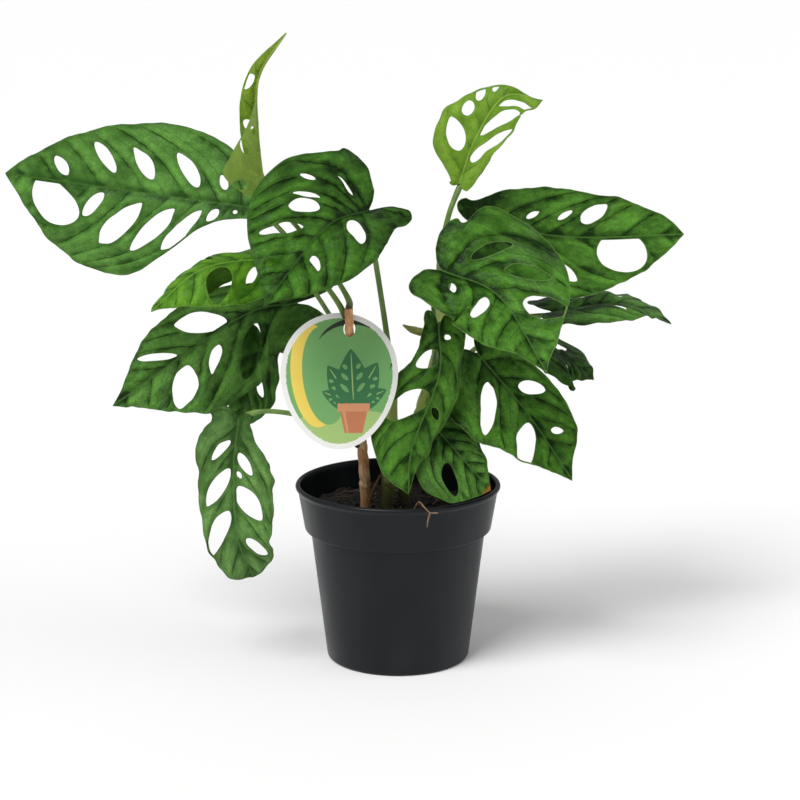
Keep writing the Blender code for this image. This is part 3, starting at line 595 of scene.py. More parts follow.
class Graph:
    """A node tree, with a short call for each kind of node that the finishes use."""

    def __init__(self, tree: NodeTree) -> None:
        """Keep the tree that the nodes go into."""
        self.tree = tree

    def node(self, kind: str, **settings: object) -> Node:
        """Add a node.

        Args:
            kind: The node's type name.
            settings: Its properties.

        Returns:
            The new node.
        """
        made = self.tree.nodes.new(kind)
        for name, value in settings.items():
            setattr(made, name, value)
        return made

    def feed(self, socket: Socket, value: object) -> None:
        """Link a socket to another one, or set its plain value.

        Args:
            socket: The input to fill.
            value: An output socket, a number, a colour or a vector.
        """
        if isinstance(value, Socket):
            self.tree.links.new(value, socket)
        elif isinstance(value, tuple) and socket.type == "RGBA":
            socket.default_value = (*value[:3], 1.0)
        else:
            socket.default_value = value

    def supply(self, node: Node, *values: object, **named: object) -> Outputs:
        """Fill a node's inputs.

        Args:
            node: The node.
            values: What goes into its first inputs, in order.
            named: What goes into others, by name with _ for a space.

        Returns:
            The node's outputs.
        """
        for socket, value in zip(node.inputs, values):
            self.feed(socket, value)
        for name, value in named.items():
            self.feed(node.inputs[name.replace("_", " ")], value)
        return node.outputs

    def sum(self, operation: str, *values: object, clamp: bool = False) -> Socket:
        """Work out one number, kept from 0 to 1 where it is clamped."""
        made = self.node("ShaderNodeMath", operation=operation, use_clamp=clamp)
        return self.supply(made, *values)[0]

    def times(self, value: object, share: object, *base: object, clamp: bool = False) -> Socket:
        """Take a share of a value, and add it to a base where one is given."""
        return self.sum("MULTIPLY_ADD" if base else "MULTIPLY", value, share, *base, clamp=clamp)

    def layers(self, base: object, *layers: tuple) -> Socket:
        """Add layers to a base.

        Args:
            base: The number to start from.
            layers: Each layer's value and its share.

        Returns:
            The sum's socket.
        """
        for value, share in layers:
            base = self.times(value, share, base)
        return base

    def span(self, operation: str, first: object, second: object) -> Socket:
        """Work out one vector."""
        return self.supply(self.node("ShaderNodeVectorMath", operation=operation), first, second)[0]

    def mix(self, share: object, first: object, second: object) -> Socket:
        """Mix two colours.

        Args:
            share: How much of the second colour is taken, from 0 to 1.
            first: The colour at 0.
            second: The colour at 1.

        Returns:
            The mixed colour's socket.
        """
        made = self.node("ShaderNodeMix", data_type="RGBA", clamp_factor=True)
        self.feed(made.inputs[6], first)
        self.feed(made.inputs[7], second)
        return self.supply(made, share)[2]

    def rise(self, value: object, low: object, high: object, bottom: object = 0.0,
             top: object = 1.0) -> Socket:
        """Rise smoothly from bottom, where the value is low, to top, where it is high."""
        made = self.node("ShaderNodeMapRange", interpolation_type="SMOOTHSTEP")
        return self.supply(made, value, low, high, bottom, top)[0]

    def fall(self, value: object, low: object, high: object) -> Socket:
        """Fall smoothly from 1 where the value is low to 0 where it is high."""
        return self.rise(value, low, high, 1.0, 0.0)

    def noise(self, place: object, scale: float, detail: float = 2.0) -> Socket:
        """Add soft noise about 0.5, by its features in one unit and its octaves of detail."""
        made = self.node("ShaderNodeTexNoise")
        return self.supply(made, Vector=place, Scale=scale, Detail=detail)[0]

    def cells(self, place: object, scale: float, feature: str = "F1") -> Outputs:
        """Add a cell pattern, by its cells in one unit, and give its outputs."""
        made = self.node("ShaderNodeTexVoronoi", feature=feature)
        return self.supply(made, Vector=place, Scale=scale)

    def marks(self, name: str) -> Socket:
        """Read a mesh's marks by name as a vector."""
        return self.node("ShaderNodeAttribute", attribute_name=name).outputs["Vector"]

    def millimetres(self) -> Socket:
        """Read a piece's own coordinates in millimetres."""
        metres = self.node("ShaderNodeTexCoord").outputs["Object"]
        return self.span("MULTIPLY", metres, (1 / MM,) * 3)

    def join(self, *parts: object) -> Socket:
        """Join three numbers into a vector."""
        return self.supply(self.node("ShaderNodeCombineXYZ"), *parts)[0]

    def split(self, vector: object) -> list:
        """Split a vector into its three numbers."""
        return list(self.supply(self.node("ShaderNodeSeparateXYZ"), vector))

    def put(self, group: NodeTree, **values: object) -> Outputs:
        """Place a shared effect with its own values, and give its outputs."""
        return self.supply(self.node("ShaderNodeGroup", node_tree=group), **values)


def effect(name: str, inputs: dict, outputs: dict, wire: Callable) -> NodeTree:
    """Make a shared shader effect once.

    Args:
        name: The node group's name.
        inputs: Each input's name and its plain value, a number or a colour.
        outputs: Each output's name and whether it is a colour.
        wire: A function of the graph and the group's inputs that returns the outputs by name.

    Returns:
        The node group.
    """
    found = bpy.data.node_groups.get(name)
    if found:
        return found
    tree = bpy.data.node_groups.new(name, "ShaderNodeTree")
    kinds = {True: "NodeSocketColor", False: "NodeSocketFloat"}
    for label, value in inputs.items():
        kind = kinds[isinstance(value, tuple)]
        socket = tree.interface.new_socket(label, in_out="INPUT", socket_type=kind)
        socket.default_value = (*value, 1.0) if isinstance(value, tuple) else value
    for label, coloured in outputs.items():
        tree.interface.new_socket(label, in_out="OUTPUT", socket_type=kinds[coloured])
    graph = Graph(tree)
    given = graph.node("NodeGroupInput").outputs
    end = graph.node("NodeGroupOutput")
    graph.supply(end, **wire(graph, given))
    return tree


@dataclass(frozen=True)
class Finish:
    """What every finish shares: a name and a Principled surface with a bump of real height."""

    name: str

    def surface(self) -> tuple[Material, Graph, Node]:
        """Start the material.

        Returns:
            The material, its graph and its Principled node.
        """
        material = bpy.data.materials.new(self.name)
        material.use_nodes = True
        return material, Graph(material.node_tree), material.node_tree.nodes["Principled BSDF"]

    def bump(self, g: Graph, shader: Node, height: object, depth: float) -> None:
        """Roughen a surface by a height from 0 to 1, with a real depth in millimetres."""
        made = g.supply(g.node("ShaderNodeBump"), Strength=1.0, Distance=depth * MM, Height=height)
        g.supply(shader, Normal=made[0])


def fill(rings: Sequence[np.ndarray], spacing: float, extra: np.ndarray | None = None) -> tuple:
    """Fill a flat outline with even triangles.

    Args:
        rings: The outline's corners in order, then those of each hole.
        spacing: The distance wanted between two spots.
        extra: Further spots to use where they lie inside.

    Returns:
        The spots, and the triangles as rows of three spots, anticlockwise.
    """
    edges = []
    count = 0
    for ring in rings:
        edges += [(count + i, count + (i + 1) % len(ring)) for i in range(len(ring))]
        count += len(ring)
    drawn = np.vstack(rings)
    low, high = drawn.min(0), drawn.max(0)
    a, b = np.meshgrid(
        np.arange(low[0], high[0], spacing),
        np.arange(low[1], high[1], spacing * math.sqrt(0.75)),
    )
    a[1::2] += spacing / 2
    grid = np.stack([a.ravel(), b.ravel()], 1)
    if extra is not None:
        grid = np.vstack([extra, grid[nearest(grid, extra) > 0.55 * spacing]])
    keep = inside(rings[0], grid) & (nearest(grid, drawn) > 0.5 * spacing)
    for hole in rings[1:]:
        keep &= ~inside(hole, grid)
    given = [Vector(spot) for spot in np.vstack([drawn, grid[keep]]).tolist()]
    made, _, faces, *_ = delaunay_2d_cdt(given, edges, [], 0, 1e-6)
    spots = np.array([(spot[0], spot[1]) for spot in made])
    faces = np.array([tuple(face) for face in faces])
    middles = spots[faces].mean(1)
    keep = inside(rings[0], middles)
    for hole in rings[1:]:
        keep &= ~inside(hole, middles)
    faces = faces[keep]
    first, second, third = (spots[faces[:, i]] for i in range(3))
    turn = np.cross(second - first, third - first)
    return spots, np.where((turn > 0)[:, None], faces, faces[:, ::-1])


def open_edges(faces: np.ndarray) -> list:
    """Find the edges that only one triangle has.

    Args:
        faces: The triangles.

    Returns:
        Each such edge as its two spots, in its triangle's order.
    """
    pairs = np.vstack([faces[:, [i, (i + 1) % 3]] for i in range(3)])
    known = set(map(tuple, pairs.tolist()))
    return [pair for pair in known if pair[::-1] not in known]


def frames(line: np.ndarray) -> tuple[np.ndarray, np.ndarray]:
    """Find a side and an up direction along a line, turned as little as possible.

    Args:
        line: The line's points.

    Returns:
        The side and the up direction at every point.
    """
    ahead = unit(np.gradient(line, axis=0))
    start = np.array([0.0, 1.0, 0.0]) if abs(ahead[0][1]) < 0.9 else np.array([1.0, 0.0, 0.0])
    sides = [unit(np.cross(ahead[0], start))]
    for way in ahead[1:]:
        sides.append(unit(sides[-1] - np.dot(sides[-1], way) * way))
    sides = np.array(sides)
    return sides, np.cross(ahead, sides)


def rod(line: np.ndarray, radii: Sequence, sides: int, facing: np.ndarray | None = None,
        relief: Callable | None = None) -> Shape:
    """Skin a line with a round tube closed at both ends.

    Args:
        line: The line's points, evenly spaced.
        radii: The radii spread evenly along the line.
        sides: The points round the tube.
        facing: The way that turn 0 looks at the line's far end.
        relief: How far the skin stands out, from the length gone and the turn.

    Returns:
        The tube, marked with its run: the length gone, the share gone and the turn.
    """
    length = gone(line)
    share = length / length[-1]
    side, up = frames(line)
    start = 0.0
    if facing is not None:
        start = math.atan2(float(np.dot(up[-1], facing)), float(np.dot(side[-1], facing)))
    turn = np.linspace(-math.pi, math.pi, sides, endpoint=False)[None]
    reach = np.interp(share, np.linspace(0, 1, len(radii)), radii)[:, None] + 0.0 * turn
    if relief is not None:
        reach = reach + relief(length[:, None], turn)
    angle = (turn + start)[..., None]
    out = side[:, None] * np.cos(angle) + up[:, None] * np.sin(angle)
    verts = (line[:, None] + out * reach[..., None]).reshape(-1, 3)
    ahead = unit(line[-1] - line[-2])
    back = unit(line[0] - line[1])
    ends = [line[0] + back * reach[0].mean() * 0.5, line[-1] + ahead * reach[-1].mean() * 0.5]
    faces = []
    for ring in range(len(line) - 1):
        for i in range(sides):
            j = (i + 1) % sides
            low, high = ring * sides, (ring + 1) * sides
            faces.append((low + i, low + j, high + j, high + i))
    count = len(verts)
    top = count - sides
    faces += [(count, (i + 1) % sides, i) for i in range(sides)]
    faces += [(count + 1, top + i, top + (i + 1) % sides) for i in range(sides)]
    run = np.stack(np.broadcast_arrays(length[:, None], share[:, None], turn), -1).reshape(-1, 3)
    run = np.vstack([run, (0.0, 0.0, 0.0), (length[-1], 1.0, 0.0)])
    return Shape(np.vstack([verts, ends]), faces, points={"run": run})


def turned(profile: Sequence, sides: int) -> tuple[np.ndarray, list]:
    """Turn a line of (radius, height) about the upright axis.

    Args:
        profile: The line, which may start or end on the axis.
        sides: The points of a full turn.

    Returns:
        The points and the faces, which look to the right of the line.
    """
    verts = []
    rings = []
    turn = np.linspace(0, 2 * math.pi, sides, endpoint=False)
    for radius, height in profile:
        if radius == 0:
            rings.append([len(verts)] * sides)
            verts.append((0.0, 0.0, height))
            continue
        rings.append(list(range(len(verts), len(verts) + sides)))
        verts += [(radius * math.cos(t), radius * math.sin(t), height) for t in turn]
    faces = []
    for low, high in zip(rings, rings[1:]):
        for i in range(sides):
            j = (i + 1) % sides
            face = tuple(dict.fromkeys((low[i], low[j], high[j], high[i])))
            if len(face) > 2:
                faces.append(face)
    return np.array(verts), faces


def rounded(corners: Sequence, steps: int = 6) -> list:
    """Round the corners of a profile.

    Args:
        corners: Each corner as (radius, height, rounding).
        steps: The points of each rounding.

    Returns:
        The profile's points as (radius, height).
    """
    spots = [np.array(corner[:2], float) for corner in corners]
    line = [tuple(spots[0])]
    for before, spot, after, corner in zip(spots, spots[1:], spots[2:], corners[1:]):
        if corner[2] == 0:
            line.append(tuple(spot))
            continue
        back = spot + unit(before - spot) * corner[2]
        on = spot + unit(after - spot) * corner[2]
        for t in np.linspace(0, 1, steps):
            line.append(tuple((1 - t) ** 2 * back + 2 * t * (1 - t) * spot + t**2 * on))
    line.append(tuple(spots[-1]))
    return line


def circle(corners: int) -> np.ndarray:
    """Draw a flat circle of radius 1."""
    turn = np.linspace(0, 2 * math.pi, corners, endpoint=False)
    return np.stack([np.cos(turn), np.sin(turn)], 1)


def spin(degrees: float) -> np.ndarray:
    """Give the matrix that turns rows of flat spots anticlockwise by an angle."""
    turn = math.radians(degrees)
    return np.array([[math.cos(turn), math.sin(turn)], [-math.sin(turn), math.cos(turn)]])


# A side vein leaves the rib at its half's lean, less TURN_BACK at the petiole, which fades over a
# share TURN_OVER of the rib. It arches forward by ARCH, and by TIP_BEND more near the margin.
TURN_BACK = 1.3
TURN_OVER = 0.05
ARCH = 0.2
TIP_BEND = 0.7
VEIN_SHARE = 0.17
HALVINGS = 22


@dataclass
class Lamina:
    """The surface of one leaf: flat places (along the rib, across it) turned into space."""

    leaf: Leaf

    def __post_init__(self) -> None:
        """Work out the rib's line and the way that the blade looks along it."""
        self.line = smooth_line(self.leaf.rib)
        self.stations = gone(self.line)
        self.length = float(self.stations[-1])
        self.ahead = unit(np.gradient(self.line, self.stations, axis=0))
        share = (self.stations / self.length)[:, None]
        face = unit(self.leaf.face)
        tip_face = unit(self.leaf.tip_face) if self.leaf.tip_face else face
        up = (1 - share) * face + share * tip_face
        up -= (up * self.ahead).sum(1, keepdims=True) * self.ahead
        self.up = unit(up)

    def read(self, values: np.ndarray, along: np.ndarray) -> np.ndarray:
        """Read directions or points, known at each station of the rib, at the places along it."""
        within = np.clip(along, 0, self.length)
        return np.stack([np.interp(within, self.stations, column) for column in values.T], 1)

    def place(self, along: np.ndarray, across: np.ndarray, lift: np.ndarray) -> np.ndarray:
        """Turn flat places into space.

        Args:
            along: How far each place is along the rib.
            across: How far it is across it, positive to the left.
            lift: How far it stands above the blade's middle.

        Returns:
            The points in space.
        """
        along, across = np.broadcast_arrays(np.asarray(along, float), np.asarray(across, float))
        ahead = unit(self.read(self.ahead, along))
        up = unit(self.read(self.up, along))
        beyond = along - np.clip(along, 0, self.length)
        centre = self.read(self.line, along) + ahead * beyond[:, None]
        side = np.cross(up, ahead)
        left = across >= 0
        halves = (self.leaf.left, self.leaf.right)
        width = np.where(left, halves[0].width, halves[1].width)
        share = np.clip(along / self.length, 0, 1)
        tips = [half.fold if half.tip_fold is None else half.tip_fold for half in halves]
        folds = [half.fold + (tip - half.fold) * share for half, tip in zip(halves, tips)]
        fold = np.radians(np.where(left, *folds))
        curl = np.radians(np.where(left, halves[0].curl, halves[1].curl)) / width
        reach = np.abs(across)
        turn = fold + curl * reach
        out = (np.sin(turn) - np.sin(fold)) / curl
        rise = (np.cos(fold) - np.cos(turn)) / curl
        sign = np.where(left, 1.0, -1.0)
        normal = up * np.cos(turn)[:, None] - side * (sign * np.sin(turn))[:, None]
        phase = 2 * math.pi * self.leaf.waves * along / self.length + (1 - sign) * 0.9
        ripple = self.leaf.wave * (reach / width) ** 2 * np.sin(phase)
        flat = side * (sign * out)[:, None] + up * rise[:, None]
        return centre + flat + normal * (ripple + lift)[:, None]

    def margin(self, half: Half) -> np.ndarray:
        """Draw the flat outline of one half, from the tip back to the petiole.

        Args:
            half: The half to draw.

        Returns:
            The outline's spots as (along, across).
        """
        spread = []
        for t in np.linspace(1, 0, 11, endpoint=False)[1:] ** 0.85:
            if t > half.widest:
                share = ((t - half.widest) / (1 - half.widest)) ** half.neck
                reach = math.cos(math.pi / 2 * share) ** half.taper
            else:
                grow = math.sin(math.pi / 2 * t / half.widest) ** half.swell
                reach = half.shoulder + (1 - half.shoulder) * grow
            spread.append((t * self.length, reach * half.width))
        beside = half.shoulder * half.width
        for turn in np.linspace(0, math.pi, 6, endpoint=False):
            wide = 0.5 + 0.5 * math.cos(turn) + 0.15 * math.sin(turn)
            spread.append((-half.lobe * math.sin(turn), beside * wide))
        return smooth_line([(self.length, 0.0), *spread, (0.0, 0.0)], 12)

    def vein(self, half: Half, start: np.ndarray, reach: np.ndarray) -> np.ndarray:
        """Find how far forward side veins have come, from their start and reach as shares."""
        lean = half.lean - TURN_BACK * np.exp(-start / TURN_OVER)
        return start * self.length + half.width * (lean * reach + ARCH * reach**2)

    def hole(self, half: Half, spec: tuple, sign: int, spacing: float,
             margin: np.ndarray) -> np.ndarray:
        """Draw the flat outline of one hole, drawn out along its side vein within the half.

        Args:
            half: The half that it is in.
            spec: The hole's place, ends and width.
            sign: 1 on the left and -1 on the right.
            spacing: The distance between two of its corners.
            margin: The half's margin.

        Returns:
            The outline's corners in order.
        """
        start, inner, outer, width, *shape = spec
        point, lopsided = shape or (0.2, 0.15)
        shares = np.linspace(inner, outer, 30)
        line = np.stack([self.vein(half, start, shares), half.width * shares], 1)
        length = gone(line)
        slope = unit(np.gradient(line, axis=0))
        turn = np.linspace(0, 2 * math.pi, 120, endpoint=False)
        at = (1 - np.cos(turn)) / 2 * length[-1]
        spot = np.stack([np.interp(at, length, column) for column in line.T], 1)
        way = np.stack([np.interp(at, length, column) for column in slope.T], 1)
        off = width / 2 * np.sign(np.sin(turn)) * np.abs(np.sin(turn)) ** (1 + point)
        off *= 1 + lopsided * np.cos(turn)
        ring = spot + np.stack([-way[:, 1], way[:, 0]], 1) * off[:, None]
        middle = ring.mean(0)
        stray = 1 + 0.22 * lumps(ring, 0.8 * width + 3.5, 9.0 * start + sign)[:, None]
        ring = middle + (ring - middle) * stray
        limit = margin[margin[:, 0] > 0.5]
        limit = limit[np.argsort(limit[:, 0])]
        room = np.interp(ring[:, 0], limit[:, 0], limit[:, 1]) - self.leaf.strip
        ring[:, 1] = np.clip(ring[:, 1], 1.6, np.maximum(room, 2.0))
        return even(np.vstack([ring, ring[:1]]), spacing)[:-1] * (1, sign)

    def strayed(self, line: np.ndarray, seed: float) -> np.ndarray:
        """Let a margin stray from its even line.

        Args:
            line: The margin's spots.
            seed: What sets this margin apart.

        Returns:
            The strayed margin, with its own ends.
        """
        seed += self.length
        off = lumps(line, 17.0, seed) + 0.5 * lumps(line, 6.0, seed)
        room = ease(line[:, 1], 1.0, 9.0)
        return line + np.outer(self.leaf.ragged * off * room, (0.3, 1.0))

    def rings(self, spacing: float) -> list:
        """Draw the blade's flat outline and those of its holes.

        Args:
            spacing: The distance between two corners.

        Returns:
            The outline, then each hole.
        """
        left, right = (
            self.strayed(even(self.margin(half), spacing), seed)
            for half, seed in ((self.leaf.left, 2.5), (self.leaf.right, 7.5))
        )
        found = [np.vstack([left, right[-2:0:-1] * (1, -1)])]
        for half, sign in ((self.leaf.left, 1), (self.leaf.right, -1)):
            line = left if sign == 1 else right
            found += [self.hole(half, spec, sign, spacing * 0.7, line) for spec in half.holes]
        return found

    def starts(self, half: Half) -> np.ndarray:
        """Find where side veins leave the rib, with a hole between two of them.

        Args:
            half: The half that they run in.

        Returns:
            Their places on the rib as shares, those past both its ends among them.
        """
        stops = [0.0, *(spec[0] for spec in half.holes), 1.0]
        found = [-0.09, -0.05, -0.02]
        for low, high in zip(stops, stops[1:]):
            count = max(int(round((high - low) / VEIN_SHARE)), 1)
            if high == 1.0:
                count = max(count, 2)
            found += [low + (high - low) * (i + 0.5) / count for i in range(count)]
        return np.array([*found, 1.05, 1.2, 1.4])

    def veined(self, half: Half, along: np.ndarray, across: np.ndarray) -> tuple:
        """Place flat spots among the side veins, which bend on to the tip near the margin.

        Args:
            half: The half that the spots are read in.
            along: How far each spot is along the rib.
            across: How far it is across it.

        Returns:
            The count of veins passed at each spot, and the veins' distance apart there.
        """
        reach = np.abs(across) / half.width
        bend = TIP_BEND * half.width * reach**4
        low = np.full(len(along), -0.12)
        high = np.full(len(along), 1.5)
        for _ in range(HALVINGS):
            middle = (low + high) / 2
            over = self.vein(half, middle, reach) + bend > along
            high = np.where(over, middle, high)
            low = np.where(over, low, middle)
        start = (low + high) / 2
        starts = self.starts(half)
        near = np.clip(np.searchsorted(starts, start) - 1, 0, len(starts) - 2)
        spacing = np.diff(starts)[near]
        early = TURN_BACK * np.exp(-start / TURN_OVER)
        run = self.length + half.width * reach * early / TURN_OVER
        slope = half.lean - early + 2 * ARCH * reach + 4 * TIP_BEND * reach**3
        gap = spacing * run / np.sqrt(1 + slope**2)
        return np.interp(start, starts, np.arange(len(starts))), gap


class Look(Enum):
    """How full a leaf is: how far it bulges between its veins (mm)."""

    FLAT = 0.4
    SOFT = 1.0
    FULL = 1.6


@dataclass
class Foliage:
    """A leaf of the plant: its blade and its petiole, each a piece of its own."""

    leaf: Leaf
    tissue: Material
    stalk: Material
    slot: Slot
    look: Look = Look.SOFT
    spacing: float = 1.0
    thickness: float = 0.5
    keel: float = 1.1
    stalk_sides: int = 22
    stalk_spacing: float = 0.9
    seed: float = 0.0

    def relief(self, lamina: Lamina, spots: np.ndarray, edge: np.ndarray, phase: np.ndarray,
               gap: np.ndarray) -> np.ndarray:
        """Lift the blade between its veins, at its rib and round its holes.

        Args:
            lamina: The leaf's surface; not used.
            spots: The flat spots.
            edge: How far each is from the nearest edge.
            phase: The count of veins passed at each.
            gap: The veins' distance apart there.

        Returns:
            How far each spot is lifted.
        """
        reach = np.abs(spots[:, 1])
        between = np.mod(phase, 1.0)
        bulge = (4 * between * (1 - between)) ** 0.7 * (0.7 + 0.6 * between) - 0.5
        room = ease(reach, 1.0, 8.0) * ease(edge, -1.0, 5.0) * ease(gap, 2.0, 9.0)
        lift = self.look.value * bulge * room
        lift += 0.25 * np.exp(-edge / 1.2) * ease(reach, 2.0, 6.0)
        lift += np.interp(reach, (0, 0.6, 1.3, 2.2, 4.0), (-0.25, -0.3, -0.15, -0.05, 0.0))
        sway = 1.1 * lumps(spots, 15.0, self.seed) + 0.55 * lumps(spots, 5.5, self.seed + 3)
        lift += self.look.value * sway * ease(reach, 1.0, 9.0)
        ruffle = lumps(spots * (1.0, 0.3), 11.0, self.seed + 7)
        return lift + self.leaf.ruffle * ruffle * np.exp(-edge / 5.0) * ease(reach, 4.0, 14.0)

    def blade(self) -> Shape:
        """Build the blade, marked with its veins and places.

        Returns:
            The blade's closed shape.
        """
        lamina = Lamina(self.leaf)
        rings = lamina.rings(self.spacing)
        rows = np.arange(1.0, lamina.length - 1.0, self.spacing)
        beside = (0.0, 0.6, -0.6, 1.3, -1.3, 2.2, -2.2)
        extra = np.vstack([np.stack([rows, np.full(len(rows), b)], 1) for b in beside])
        spots, faces = fill(rings, self.spacing, extra)
        along, across = spots.T
        fine = np.vstack([even(np.vstack([ring, ring[:1]]), 0.45) for ring in rings])
        edge = nearest(spots, fine)
        left = lamina.veined(self.leaf.left, along, across)
        right = lamina.veined(self.leaf.right, along, across)
        phase, gap = (np.where(across >= 0, a, b) for a, b in zip(left, right))
        lift = self.relief(lamina, spots, edge, phase, gap)
        thick = self.thickness * (0.5 + 0.5 * ease(edge, 0.0, 1.2)) / 2
        ridge = self.keel * (1 - 0.65 * along / lamina.length) * np.exp(-((across / 1.3) ** 2))
        ridge += 0.2 * (1 - np.abs(np.sin(math.pi * phase))) ** 6 * ease(edge, 0.5, 4.0)
        top = lamina.place(along, across, lift + thick)
        under = lamina.place(along, across, lift - thick - ridge)
        count = len(spots)
        rims = np.array(open_edges(faces))
        walls = np.stack([rims[:, 1], rims[:, 0], rims[:, 0] + count, rims[:, 1] + count], 1)
        solid = faces.tolist() + (faces[:, ::-1] + count).tolist() + walls.tolist()
        looks = np.concatenate([faces.ravel(), faces[:, ::-1].ravel(), (walls % count).ravel()])
        groups = (faces, faces, walls % count)
        sides = [np.repeat(across[group].mean(1) >= 0, group.shape[1]) for group in groups]
        on_left = np.concatenate(sides)
        below = np.zeros(len(looks))
        below[3 * len(faces) : 6 * len(faces)] = 1.0
        veins = [np.where(on_left, a[looks], b[looks]) for a, b in zip(left, right)]
        marks = {
            "veins": np.stack([*veins, below], 1),
            "place": np.stack([along, across, edge], 1)[looks],
        }
        return Shape(np.vstack([top, under]), solid, corners=marks)

    def foot(self, root: float) -> np.ndarray:
        """Find where the petiole leaves its stem.

        Args:
            root: The petiole's radius at its foot.

        Returns:
            The petiole's first point.
        """
        stem = STEMS[self.leaf.stem]
        line = smooth_line(stem.line)
        if self.leaf.joint is None:
            return line[-1]
        at = np.interp(self.leaf.joint, line[:, 2], np.arange(len(line)))
        near = int(round(at))
        ahead = unit(np.gradient(line, axis=0))[near]
        way = np.array(self.leaf.petiole[0]) - line[near]
        out = unit(way - np.dot(way, ahead) * ahead)
        share = at / (len(line) - 1)
        bark = np.interp(share, np.linspace(0, 1, len(stem.radii)), stem.radii)
        return line[near] + out * (bark - 0.3 * root)

    def skin(self, length: np.ndarray, turn: np.ndarray) -> np.ndarray:
        """Shape the petiole's foot, its knee and the channel on top.

        Args:
            length: The length gone.
            turn: The turn round the petiole.

        Returns:
            How far the skin stands out.
        """
        total = length[-1]
        foot = 0.45 * np.exp(-length / 7)
        knee = 0.16 * np.exp(-(((length - total + 15) / 4.5) ** 2))
        slim = -0.55 * ease(length, total - 10, total)
        channel = -0.22 * np.exp(-((turn / 0.42) ** 2)) * ease(length, 4, 14)
        wings = 0.12 * np.exp(-(((np.abs(turn) - 0.75) / 0.25) ** 2)) * (1 - ease(length, 25, 60))
        return self.leaf.stalk * (foot + knee + slim + channel + wings)

    def petiole(self) -> Shape:
        """Build the petiole: a sheathed foot, a channel on top and a knee before the blade.

        Returns:
            The petiole's closed shape.
        """
        lamina = Lamina(self.leaf)
        stalk = self.leaf.stalk
        zero = np.zeros(1)
        knee = lamina.place(zero + 1.5, zero, zero - 2.0 * stalk)[0]
        end = lamina.place(zero + 9, zero, zero - 1.0)[0]
        line = smooth_line([self.foot(1.3 * stalk), *self.leaf.petiole, knee, end])
        line = even(line, self.stalk_spacing)
        return rod(line, [stalk, 0.94 * stalk], self.stalk_sides, lamina.up[0], self.skin)

    def build(self) -> None:
        """Make both pieces."""
        short = self.leaf.name.removeprefix("leaf_")
        self.blade().show(f"blade_{short}", [self.tissue], self.slot, self.leaf.name)
        self.petiole().show(f"petiole_{short}", [self.stalk], Slot.GREEN_STEM, self.leaf.name)


def grain() -> NodeTree:
    """Make the shared grain: soft noise at two sizes, which may be drawn out upwards.

    Returns:
        The node group.
    """

    def wire(g: Graph, given: object) -> dict:
        """Wire the group.

        Args:
            g: The group's graph.
            given: Its inputs.

        Returns:
            The outputs by name.
        """
        x, y, z = g.split(g.millimetres())
        tall = g.times(given["Size"], given["Stretch"])
        sizes = zip((x, y, z), (given["Size"], given["Size"], tall))
        drawn = g.join(*(g.sum("DIVIDE", part, size) for part, size in sizes))
        coarse = g.noise(drawn, 1.0, 3.0)
        fine = g.noise(drawn, 5.3, 2.0)
        return {
            "Broad": g.rise(coarse, 0.36, 0.66),
            "Fine": g.rise(fine, 0.35, 0.68),
            "Height": g.times(fine, 0.35, g.times(coarse, 0.65)),
        }

    outputs = {"Broad": False, "Fine": False, "Height": False}
    return effect("grain", {"Size": 4.0, "Stretch": 1.0}, outputs, wire)


def specks() -> NodeTree:
    """Make the shared specks: small round marks strewn at random.

    Returns:
        The node group.
    """

    def wire(g: Graph, given: object) -> dict:
        """Wire the group.

        Args:
            g: The group's graph.
            given: Its inputs.

        Returns:
            The outputs by name.
        """
        drawn = g.node("ShaderNodeVectorMath", operation="SCALE")
        drawn = g.supply(drawn, Vector=g.millimetres(), Scale=g.sum("DIVIDE", 1.0, given["Apart"]))
        cells = g.cells(drawn[0], 1.0)
        pick, size, _ = g.split(cells["Color"])
        chosen = g.sum("LESS_THAN", pick, given["Share"])
        reach = g.times(given["Radius"], g.times(size, 0.8, 0.4))
        apart = g.times(cells["Distance"], given["Apart"])
        return {"Mask": g.times(g.fall(apart, g.times(reach, 0.6), reach), chosen)}

    inputs = {"Apart": 5.0, "Radius": 0.4, "Share": 0.3}
    return effect("specks", inputs, {"Mask": False}, wire)


